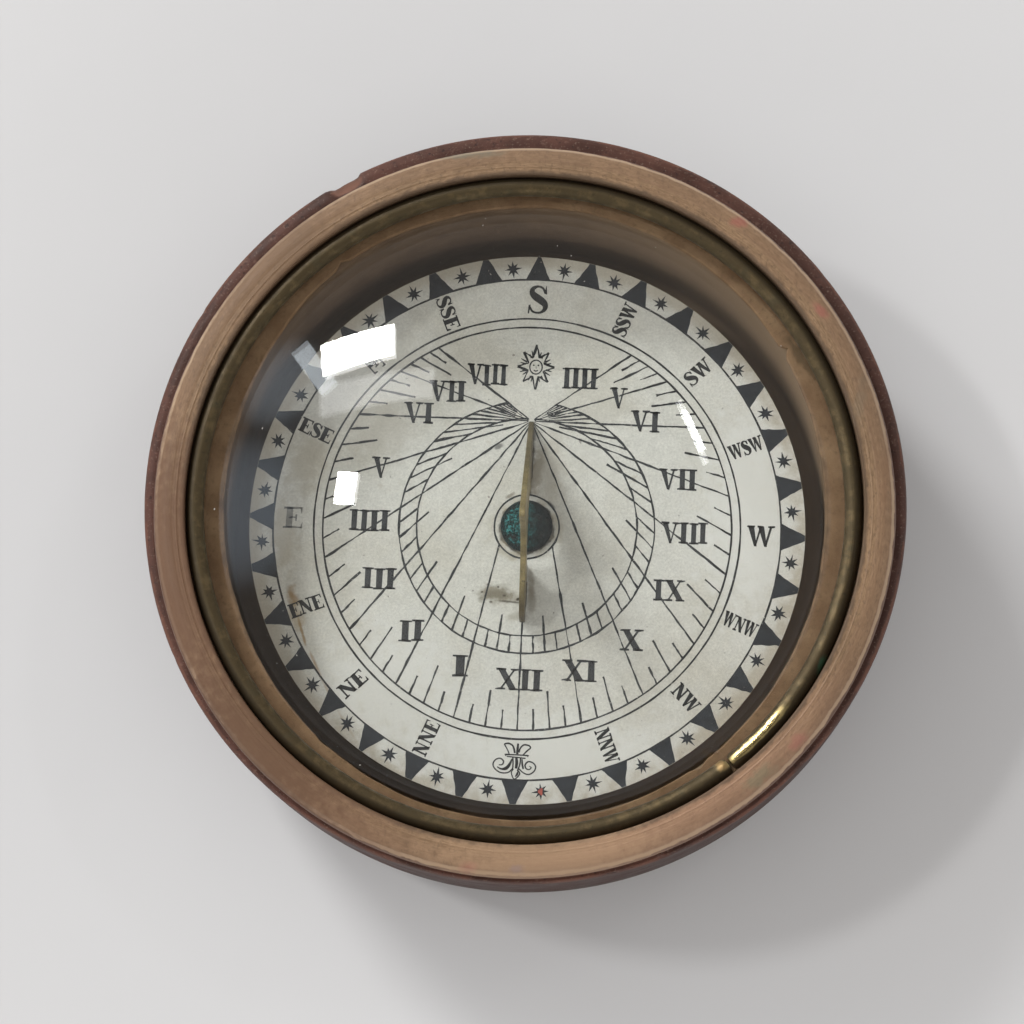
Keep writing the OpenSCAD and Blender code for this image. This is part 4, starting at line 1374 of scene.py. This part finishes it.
def border_point(middle, draw):
    """Outline of one long point. Its foot is an arc of the border ring, and its two sides run in to a narrow
    tip near the card's edge, hollowed by half a sine wave and leaning to one side."""
    base = BORDER_RING * CARD_R
    lean = draw.normal() * 0.0035
    half = math.radians(3.0) * draw.uniform(0.93, 1.06)
    tip = math.radians(draw.uniform(0.4, 0.75))
    foot = middle + np.linspace(-half, half, 7)
    outline = [(base * math.sin(a), base * math.cos(a)) for a in foot]
    for side in (1, -1):
        t = np.linspace(0, 1, 7)[1:] if side > 0 else np.linspace(1, 0, 7)[:-1]
        r = base + (CARD_R - 0.02 - base) * t
        a = middle + side * (half + (tip - half) * t - 0.0022 * np.sin(math.pi * t)) + lean * t
        a = a + draw.normal(size=6) * 0.0009
        outline += list(zip(r * np.sin(a), r * np.cos(a)))
    return outline


def border_star(middle, draw):
    """Outline of one star: sixteen corners round its centre, far and near by turns, all a little uneven."""
    turn = middle + draw.normal() * 0.1
    corners = np.arange(16)
    length = np.where(corners % 2 == 0, draw.uniform(0.62, 0.88, 16), draw.uniform(0.24, 0.31, 16))
    length[corners % 4 == 2] *= 0.84
    a = turn + corners * TURN / 16 + draw.normal(size=16) * 0.05
    return dial_spot(STAR_RING, middle) + length[:, None] * np.stack([np.sin(a), np.cos(a)], -1)


class OBJECT_OT_sundial_border(bpy.types.Operator):
    """Prints the border of compass points and stars"""
    bl_idname = "object.sundial_border"
    bl_label = "Border of points and stars"

    def execute(self, context):
        dial = context.scene.sundial_dial
        draw = np.random.default_rng(43)
        ink = finish_ink("printed_border_ink", tuple(dial.ink_blue), 0.66, 0.76)
        points, stars = [], []
        for k in range(BORDER_POINTS):
            middle = math.radians(POINT_STEP * k)
            points.append(border_point(middle, draw))
            stars.append(border_star(middle + math.radians(POINT_STEP / 2), draw))
        dial_mesh("printed_points", [], points, 0.012, ink)
        dial_mesh("printed_stars", [], stars, 0.012, ink)
        a = np.linspace(0, TURN, 14, endpoint=False)
        outline = np.stack([0.8 * np.sin(a), 1.2 * np.cos(a)], -1)
        blot = dial_spot(STAR_RING, math.radians(POINT_STEP * 15.5)) + \
            0.23 * (1 + 0.25 * np.sin(3 * a))[:, None] * outline
        dial_mesh("red_blot", [], [blot], 0.018, finish_plain("red_ink_blot"))
        return {"FINISHED"}


# Capitals on a cap height of 1. Stems: foot x, y, head x, y and the widths there. Serifs: left, right, y.
CAPITALS = {
    "I": (0.50, ((0.25, 0, 0.25, 1, 0.235, 0.235),), ((0.0, 0.50, 0), (0.0, 0.50, 1))),
    "V": (0.98, ((0.52, 0, 0.22, 1, 0.11, 0.27), (0.52, 0, 0.80, 1, 0.08, 0.085)),
          ((0.0, 0.44, 1), (0.60, 0.98, 1))),
    "X": (0.98, ((0.77, 0, 0.21, 1, 0.26, 0.26), (0.20, 0, 0.78, 1, 0.08, 0.08)),
          ((0.0, 0.40, 0), (0.56, 0.98, 0), (0.0, 0.42, 1), (0.60, 0.98, 1))),
    "W": (1.30, ((0.40, 0, 0.17, 1, 0.11, 0.25), (0.40, 0, 0.64, 1, 0.08, 0.09),
                 (0.88, 0, 0.64, 0.98, 0.11, 0.24), (0.88, 0, 1.12, 1, 0.08, 0.08)),
          ((0.0, 0.36, 1), (0.48, 0.74, 1), (0.96, 1.30, 1))),
    "N": (1.02, ((0.20, 0, 0.20, 1, 0.085, 0.085), (0.82, 0, 0.20, 1, 0.20, 0.27),
                 (0.82, 0, 0.82, 1, 0.085, 0.085)), ((0.02, 0.38, 0), (0.0, 0.30, 1), (0.64, 1.02, 1))),
    "E": (0.84, ((0.25, 0, 0.25, 1, 0.23, 0.23), (0.76, 0, 0.80, 0.30, 0.10, 0.03),
                 (0.77, 0.72, 0.74, 1, 0.03, 0.10), (0.54, 0.36, 0.54, 0.66, 0.05, 0.05)),
          ((0.0, 0.78, 0), (0.0, 0.77, 1), (0.25, 0.54, 0.51))),
}
# The S is a curve through points with half widths, and has two upright serifs
S_CURVE = ((0.60, 0.74, 0.03), (0.52, 0.91, 0.035), (0.36, 0.975, 0.035), (0.19, 0.90, 0.065),
           (0.15, 0.75, 0.09), (0.26, 0.61, 0.115), (0.45, 0.48, 0.12), (0.60, 0.34, 0.10),
           (0.61, 0.17, 0.07), (0.49, 0.045, 0.04), (0.33, 0.02, 0.032), (0.18, 0.07, 0.035),
           (0.08, 0.24, 0.03))
S_SERIFS = (((0.58, 0.70), (0.66, 0.70), (0.66, 1.0), (0.61, 1.0)),
            ((0.03, -0.01), (0.08, -0.01), (0.12, 0.30), (0.04, 0.30)))
S_WIDTH = 0.72
# Thickness of a serif, and how far its middle swells towards the stem
SERIF_T, SERIF_SWELL = 0.065, 0.03


def capital(letter, weight):
    """Width, strokes and patches of a capital; the weight multiplies the widths of its stems and serifs."""
    if letter == "S":
        p = curve_through(np.array(S_CURVE), 4) * [1, 1, weight]
        return S_WIDTH, [(p[:, :2], p[:, 2])], S_SERIFS
    width, stems, serifs = CAPITALS[letter]
    patches = []
    for x0, y0, x1, y1, w0, w1 in stems:
        w0, w1 = w0 * weight / 2, w1 * weight / 2
        patches.append([(x0 - w0, y0), (x0 + w0, y0), (x1 + w1, y1), (x1 - w1, y1)])
    for left, right, y in serifs:
        thick = SERIF_T * weight
        low_y = y if y == 0 else y - thick if y == 1 else y - thick / 2
        top_y = low_y + thick
        middle = (left + right) / 2
        if y == 0:
            patches.append([(left, low_y), (right, low_y), (right, top_y), (middle, top_y + SERIF_SWELL),
                            (left, top_y)])
        else:
            swell = SERIF_SWELL if y == 1 else 0
            patches.append([(left, low_y), (middle, low_y - swell), (right, low_y), (right, top_y),
                            (left, top_y)])
    return width, [], patches


def set_words(words, draw, weight):
    """Strokes and patches of words, each given as (text, centre, cap height, turn in degrees, width): letters
    stand side by side about the centre, stretched to the width, turned, with slightly uneven outlines."""
    strokes, patches = [], []
    for text, centre, size, turn, width_mm in words:
        glyphs = [capital(letter, weight) for letter in text]
        total = sum(g[0] for g in glyphs)
        stretch = width_mm / (total * size)
        a = math.radians(turn)
        spin = np.array([[math.cos(a), math.sin(a)], [-math.sin(a), math.cos(a)]])
        x = -total / 2
        for width, curves, outlines in glyphs:
            wobble = draw.normal(size=2) * 0.012

            def placed(points):
                local = (np.asarray(points, float) + [x, -0.5]) * [stretch, 1] + wobble
                return (local * size) @ spin + centre

            for path, half in curves:
                strokes.append((placed(path), half * size, False))
            for outline in outlines:
                rough = draw.normal(size=(len(outline), 2)) * 0.010 * size
                patches.append(placed(outline) + rough)
            x += width
    return strokes, patches


# Morning numeral and its width in millimetres, its bearing, and the afternoon one across the noon line
NUMERALS = (("XII", 3.75, 180, "", 0), ("XI", 2.9, 157.5, "I", 1.25), ("X", 1.85, 135, "II", 2.0),
            ("IX", 2.55, 112, "III", 2.7), ("VIII", 3.7, 90, "IIII", 3.3), ("VII", 3.05, 70, "V", 1.45),
            ("VI", 2.4, 45.5, "VI", 2.35), ("V", 1.45, 32.5, "VII", 3.0), ("IIII", 2.9, 17, "VIII", 3.4))
# Heights of the numerals and the small letters, and height and width of the large letters
NUMERAL_H, SMALL_H = 1.72, 1.2
CARDINAL_SIZES = {"S": (2.3, 1.7), "W": (1.68, 2.25), "E": (1.72, 1.6)}
# Points of the compass clockwise from south as the dial is seen; north has a lily in place of its letter
POINTS = ("S", "SSW", "SW", "WSW", "W", "WNW", "NW", "NNW", "", "NNE", "NE", "ENE", "E", "ESE", "SE", "SSE")


class OBJECT_OT_sundial_letters(bpy.types.Operator):
    """Prints the hours' numerals and the letters of the compass points"""
    bl_idname = "object.sundial_letters"
    bl_label = "Numerals and letters"

    def execute(self, context):
        dial = context.scene.sundial_dial
        draw = np.random.default_rng(47)
        ink = finish_ink("printed_type_ink", tuple(dial.ink), 0.69, 0.79)
        words = []
        for morning, width, angle, afternoon, other_width in NUMERALS:
            a = math.radians(angle)
            spot = (NUMERAL_RING * CARD_R + 0.28 * math.cos(a)) * np.array([math.sin(a), math.cos(a)])
            words.append((morning, spot, NUMERAL_H, 0, width))
            if afternoon:
                words.append((afternoon, spot * [-1, 1], NUMERAL_H, 0, other_width))
        dial_mesh("printed_numerals", *set_words(words, draw, 1.14), 0.015, ink)
        cardinal, small = [], []
        for k, word in enumerate(POINTS):
            angle = 360 / len(POINTS) * k
            spot = dial_spot(POINT_RING, math.radians(angle))
            if len(word) == 1:
                size, width = CARDINAL_SIZES[word]
                cardinal.append((word, spot, size, 0, width))
            elif word:
                turn = 90 - angle if angle < 180 else 270 - angle
                small.append((word, spot, SMALL_H, turn, 2.85 if len(word) == 3 else 2.5))
        dial_mesh("printed_cardinals", *set_words(cardinal, draw, 1.12), 0.015, ink)
        dial_mesh("printed_small_letters", *set_words(small, draw, 1.35), 0.015, ink)
        return {"FINISHED"}


# Lily of the north point, tip down, about its middle in millimetres: x, y and half width at each point
LILY = (
    ((-0.54, 0.44, 0.045), (-0.72, 0.82, 0.05), (-1.00, 1.28, 0.05)),
    ((-1.00, 1.28, 0.05), (-0.66, 1.34, 0.06), (-0.34, 1.20, 0.06), (-0.18, 0.92, 0.07),
     (-0.10, 0.56, 0.07)),
    ((0.14, 1.36, 0.07), (0.12, 0.95, 0.09), (0.10, 0.48, 0.09)),
    ((0.24, 0.62, 0.05), (0.34, 0.98, 0.055), (0.62, 1.26, 0.055), (1.04, 1.22, 0.055),
     (1.20, 1.04, 0.05)),
    ((1.20, 1.04, 0.05), (0.90, 0.78, 0.06), (0.60, 0.44, 0.05)),
    ((-0.90, 0.36, 0.09), (-0.74, 0.42, 0.06), (0.0, 0.42, 0.045), (0.88, 0.40, 0.055),
     (1.04, 0.34, 0.09)),
    ((-0.74, 0.26, 0.045), (0.0, 0.22, 0.045), (0.80, 0.16, 0.045)),
    ((-0.24, 0.22, 0.05), (-0.20, -0.34, 0.05), (-0.22, -0.78, 0.05)),
    ((0.40, 0.16, 0.05), (0.36, -0.36, 0.05), (0.22, -0.80, 0.05)),
    ((0.04, 0.20, 0.08), (0.10, -0.20, 0.11), (0.06, -0.70, 0.09)),
    ((-0.24, -0.74, 0.045), (-0.60, -1.06, 0.05), (-1.20, -1.08, 0.05), (-1.68, -0.78, 0.05),
     (-1.84, -0.38, 0.055), (-1.62, -0.02, 0.05), (-1.26, 0.08, 0.05), (-1.00, -0.14, 0.06),
     (-1.08, -0.42, 0.05), (-1.36, -0.46, 0.04)),
    ((-0.30, 0.08, 0.05), (-0.46, -0.34, 0.10), (-0.74, -0.70, 0.13), (-1.14, -0.78, 0.07),
     (-1.50, -0.62, 0.04)),
    ((0.24, -0.66, 0.045), (0.70, -1.04, 0.045), (1.14, -1.14, 0.05), (1.54, -0.88, 0.05),
     (1.66, -0.48, 0.05), (1.42, -0.18, 0.05), (1.04, -0.10, 0.055), (0.80, -0.36, 0.06),
     (0.88, -0.66, 0.05), (1.14, -0.74, 0.04), (1.30, -0.58, 0.04), (1.14, -0.46, 0.03)),
    ((0.52, 0.10, 0.045), (0.56, -0.34, 0.07), (0.66, -0.72, 0.06)),
    ((-0.16, -0.74, 0.045), (-0.30, -1.08, 0.045), (-0.04, -1.58, 0.045), (0.38, -1.14, 0.055),
     (0.16, -0.80, 0.06)),
    ((0.20, -0.96, 0.04), (0.18, -1.14, 0.08), (0.04, -1.38, 0.04)),
)
LILY_SCALE = 0.97
# Place of the sun on the dial in millimetres
SUN_MIDDLE = (0.15, 13.2)


def sun_rays(long_way, short_way):
    """Outline of the sun's large rays: eight points on an ellipse, between dips on a small circle."""
    a = np.arange(16) * TURN / 16
    radius = np.where(np.arange(16) % 2 == 0, 1.0, 0.44)
    radius = radius * np.where(np.arange(16) % 4 == 2, 0.94, 1.0)
    return np.stack([short_way * radius * np.sin(a), long_way * radius * np.cos(a)], -1)


def sun_strokes(draw):
    """Strokes of the sun about its middle: the outline of its large rays with every other side heavier, two
    thin rays in each gap, and a round plain face with straight eyes and a straight nose."""
    strokes = []
    outline = sun_rays(1.86, 1.5)
    for k in range(16):
        side = line(outline[k], outline[(k + 1) % 16], 5, 0)
        strokes.append(inked(SUN_MIDDLE + side, 0.058 + 0.03 * (k % 2), draw, False, 0.35, 0.02))
    for k in range(8):
        for turn in (-0.12, 0.10):
            a = (k + 0.5) * TURN / 8 + turn + draw.normal() * 0.03
            way = np.array([math.sin(a), math.cos(a)])
            length = 1.34 * draw.uniform(0.88, 1.06)
            width = np.linspace(0.085, 0.03, 6)
            strokes.append((SUN_MIDDLE + way * np.linspace(0.84, length, 6)[:, None], width, False))
    face = circle(0.55, step=0.12) * [0.92, 1.05]
    strokes.append(inked(SUN_MIDDLE + face, 0.055, draw, True, 0.2, 0.01))
    for side in (-1, 1):
        eye = np.array([0.19 * side, 0.15])
        lid = line(eye - [0.07, 0], eye + [0.07, 0], 3, 0)
        strokes.append((SUN_MIDDLE + lid, np.array([0.04, 0.065, 0.065, 0.04]), False))
    strokes.append((SUN_MIDDLE + line((0.0, 0.12), (0.02, -0.14), 3, 0), np.full(4, 0.022), False))
    mouth = curve_through(((-0.17, -0.27), (0.0, -0.33), (0.17, -0.27)), 4)
    strokes.append((SUN_MIDDLE + mouth, np.full(len(mouth), 0.05), False))
    return strokes


class OBJECT_OT_sundial_ornaments(bpy.types.Operator):
    """Prints the lily at north and the sun with its small plain face"""
    bl_idname = "object.sundial_ornaments"
    bl_label = "Lily and sun"

    def execute(self, context):
        draw = np.random.default_rng(53)
        ink = bpy.data.materials["printed_type_ink"]
        strokes = []
        for stroke in LILY:
            p = curve_through(np.array(stroke), 6)
            place = p[:, :2] * LILY_SCALE + [0, -POINT_RING * CARD_R]
            strokes.append((place, p[:, 2] * draw.uniform(1.0, 1.15), False))
        dial_mesh("printed_lily", strokes, [], 0.014, ink)
        dial_mesh("printed_sun", sun_strokes(draw), [], 0.013, ink)
        return {"FINISHED"}


def dust_speck(draw, longest, dome_r, sphere_r, centre):
    """Points of one speck: a ragged ring of six about a point of the dome, stretched one way by no more than
    the longest, then a peak over the ring and a foot sunk in the glass."""
    far = dome_r * 0.985 * math.sqrt(draw.uniform(0.0, 1.0))
    at = draw.uniform(0, TURN)
    size = 0.026 * math.exp(draw.normal() * 0.4)
    long_way, heading = draw.uniform(1, longest), draw.uniform(0, TURN)
    up = math.sqrt(sphere_r ** 2 - far ** 2)
    normal = np.array([far * math.cos(at), far * math.sin(at), up]) / sphere_r
    foot = normal * sphere_r + [0, 0, centre]
    across = np.cross((math.cos(heading), math.sin(heading), 0), normal)
    across = across / np.linalg.norm(across)
    along = np.cross(normal, across)
    ring = np.linspace(0, TURN, 6, endpoint=False)
    rim = np.cos(ring)[:, None] * across * long_way + np.sin(ring)[:, None] * along
    rim = foot + rim * size * draw.uniform(0.7, 1.2, 6)[:, None] - normal * 0.003
    return [rim, (foot + normal * size * 0.5)[None], (foot - normal * 0.006)[None]]


class OBJECT_OT_sundial_dust(bpy.types.Operator):
    """Scatters dust specks, some of them long, on the glass"""
    bl_idname = "object.sundial_dust"
    bl_label = "Dust"

    def execute(self, context):
        glass = context.scene.sundial_glass
        draw = np.random.default_rng(61)
        _, dome_r, sphere_r, centre = dome(glass)
        vertices, faces = [], []
        for k in range(glass.specks):
            vertices += dust_speck(draw, 4 if k % 9 == 0 else 1.6, dome_r, sphere_r, centre)
            first = 8 * k
            for j in range(6):
                j1 = (j + 1) % 6
                faces.append((first + j, first + j1, first + 6))
                faces.append((first + j1, first + j, first + 7))
        thing = finish_mesh("glass_dust", np.concatenate(vertices), faces, 60)
        face_outwards(thing)
        give(thing, "case", "crystal_glass", finish_plain("pale_dust"))
        return {"FINISHED"}


# Stage


def toward(azimuth, elevation):
    """Unit vector at an azimuth and an elevation in degrees."""
    a, e = math.radians(azimuth), math.radians(elevation)
    return Vector((math.cos(e) * math.cos(a), math.cos(e) * math.sin(a), math.sin(e)))


WHITE = (1.0, 1.0, 1.0)
# Lights of the windows: name, the two ends of the middle line (azimuth, elevation) and the width in degrees,
# radiance and colour. All of them stand at one distance in metres.
WINDOW_LIGHTS = (
    ("window", ((135.8, 32.8), (121.5, 39.7)), 6.8, 50, (1.0, 0.99, 0.97)),
    ("window_pane", ((136.2, 26.6), (139.3, 38.2)), 3.4, 3.6, (0.88, 0.95, 1.0)),
    ("window_sill", ((143.0, 38.0), (119.0, 52.0)), 6.2, 2.1, WHITE),
    ("window_gap", ((155.4, 51.3), (164.9, 52.5)), 4.1, 80, (1.0, 0.99, 0.97)),
    ("far_window", ((43.5, 49.2), (31.0, 50.9)), 1.1, 24, WHITE),
    ("far_window_ends", ((46.5, 48.4), (27.0, 51.5)), 0.8, 6, WHITE),
)
WINDOW_DISTANCE = 1.5
# Light of the ceiling: radiance, and radius and height in metres
CEILING_RADIANCE, CEILING_R, CEILING_Z = 0.62, 1.6, 2.2
# Half the floor's side in millimetres
FLOOR_HALF = 2500
# Soft patches of the room: azimuth, elevation and radius in degrees, and colour
ROOM_PATCHES = ((143.5, 28, 9.5, (0.95, 1.03, 1.12)), (169, 31, 15, (0.85, 0.94, 1.05)),
                (132, 44, 16, (0.75, 0.75, 0.75)))
# Axis of the dim cone overhead: azimuth and elevation in degrees
CONE_AXIS = (99.4, 79.6)


def window_light(name, ends, width, radiance, color):
    """A rectangular light that faces the dial. Its middle line runs between two (azimuth, elevation) ends,
    its width is an angle in degrees, and its power is radiance times pi times area."""
    first, last = (toward(*end) for end in ends)
    way, across = (first + last).normalized(), (last - first).normalized()
    lamp = bpy.data.lights.new(name, "AREA")
    lamp.shape = "RECTANGLE"
    lamp.size = WINDOW_DISTANCE * (last - first).length
    lamp.size_y = WINDOW_DISTANCE * math.radians(width)
    lamp.energy = radiance * math.pi * lamp.size * lamp.size_y
    lamp.color = color
    thing = bpy.data.objects.new(name, lamp)
    up = way.cross(across)
    thing.matrix_world = Matrix.Translation(Vector((0, 0, DIAL_Z * MM)) + way * WINDOW_DISTANCE) @ \
        Matrix((across, up, way)).transposed().to_4x4()
    bpy.context.scene.collection.objects.link(thing)


def ceiling_light(radiance):
    """A wide soft light straight above the dial, kept out of reflections."""
    lamp = bpy.data.lights.new("ceiling", "AREA")
    lamp.shape = "DISK"
    lamp.size = 2 * CEILING_R
    lamp.energy = radiance * math.pi * math.pi * CEILING_R ** 2
    thing = bpy.data.objects.new("ceiling", lamp)
    thing.location = (0, 0, CEILING_Z)
    thing.visible_glossy = False
    bpy.context.scene.collection.objects.link(thing)


def room_light(strength):
    """The room as a soft light all round: dim overhead in a wide cone that leans a little to the south,
    brighter below it, pale at the horizon, and with three soft patches on the window's side."""
    world = bpy.data.worlds.new("room")
    world.use_nodes = True
    tree = world.node_tree
    way = tree.nodes.new("ShaderNodeTexCoord").outputs["Generated"]
    height = part_of(tree, way, 2)
    overhead = vector(tree, "DOT_PRODUCT", way, tuple(toward(*CONE_AXIS))).outputs["Value"]
    color = mix(tree, span(tree, overhead, 0.38, 0.52), (1.25, 1.22, 1.19), (0.30, 0.272, 0.245))
    color = mix(tree, span(tree, overhead, 0.72, 0.97), color, (0.10, 0.095, 0.088))
    color = mix(tree, span(tree, height, 0.24, 0.12), color, (0.80, 0.80, 0.81))
    for azimuth, elevation, wide, tint in ROOM_PATCHES:
        near = vector(tree, "DOT_PRODUCT", way, tuple(toward(azimuth, elevation))).outputs["Value"]
        color = mix(tree, span(tree, near, math.cos(math.radians(wide)), 1.0), color, tint)
    back = next(n for n in tree.nodes if n.type == "BACKGROUND")
    tree.links.new(color, back.inputs["Color"])
    back.inputs["Strength"].default_value = strength
    return world


class OBJECT_OT_sundial_stage(bpy.types.Operator):
    """Sets up the pale floor, the window light and the camera"""
    bl_idname = "object.sundial_stage"
    bl_label = "Stage"

    def execute(self, context):
        scene, stage = context.scene, context.scene.sundial_stage
        corners = FLOOR_HALF * np.array([(-1, -1, 0), (1, -1, 0), (1, 1, 0), (-1, 1, 0)])
        floor = finish_mesh("stage_floor", corners, [(0, 1, 2, 3)])
        floor.data.materials.append(finish_plain("pale_floor"))
        ceiling_light(CEILING_RADIANCE * stage.lamps)
        for name, ends, width, radiance, color in WINDOW_LIGHTS:
            window_light(name, ends, width, radiance * stage.lamps, color)
        aim = Vector(stage.aim)
        e, lean = stage.elevation, stage.lean
        away = Vector((math.cos(e) * math.sin(lean), -math.cos(e) * math.cos(lean), math.sin(e)))
        side = Vector((0, 1, 0)).cross(away).normalized()
        up = away.cross(side)
        scene.world = room_light(stage.room)
        camera = bpy.data.objects.new("camera", bpy.data.cameras.new("camera"))
        camera.matrix_world = Matrix.Translation(aim + away * stage.distance) @ \
            Matrix((side, up, away)).transposed().to_4x4()
        camera.data.lens = stage.lens
        camera.data.clip_start, camera.data.clip_end = 0.005, 20
        scene.collection.objects.link(camera)
        scene.camera = camera
        scene.view_settings.view_transform = "Standard"
        return {"FINISHED"}


SETTINGS = {"sundial_case": SundialCaseSettings, "sundial_glass": SundialGlassSettings,
            "sundial_dial": SundialDialSettings, "sundial_metal": SundialMetalSettings,
            "sundial_stage": SundialStageSettings}
STEPS = (OBJECT_OT_sundial_case, OBJECT_OT_sundial_bedding, OBJECT_OT_sundial_glass, OBJECT_OT_sundial_wire,
         OBJECT_OT_sundial_pivot, OBJECT_OT_sundial_card, OBJECT_OT_sundial_gnomon, OBJECT_OT_sundial_cap,
         OBJECT_OT_sundial_lines, OBJECT_OT_sundial_border, OBJECT_OT_sundial_letters,
         OBJECT_OT_sundial_ornaments, OBJECT_OT_sundial_dust, OBJECT_OT_sundial_stage)


class VIEW3D_PT_sundial(bpy.types.Panel):
    """Lists the steps that dress the sundial"""
    bl_idname = "VIEW3D_PT_sundial"
    bl_label = "Pocket sundial compass"
    bl_space_type = "VIEW_3D"
    bl_region_type = "UI"
    bl_category = "Sundial"

    def draw(self, context):
        for step in STEPS:
            self.layout.operator(step.bl_idname)


def register():
    """Registers the settings, the steps and the panel."""
    for kind in (*SETTINGS.values(), *STEPS, VIEW3D_PT_sundial):
        bpy.utils.register_class(kind)
    for name, kind in SETTINGS.items():
        setattr(bpy.types.Scene, name, PointerProperty(type=kind))


def unregister():
    """Takes back what register has added."""
    for name in SETTINGS:
        delattr(bpy.types.Scene, name)
    for kind in (VIEW3D_PT_sundial, *reversed(STEPS), *reversed(SETTINGS.values())):
        bpy.utils.unregister_class(kind)


def main():
    """Dresses the whole model."""
    register()
    for make in GROUP_MAKERS:
        make()
    for step in STEPS:
        area, name = step.bl_idname.split(".")
        getattr(getattr(bpy.ops, area), name)()


if __name__ == "__main__":
    main()
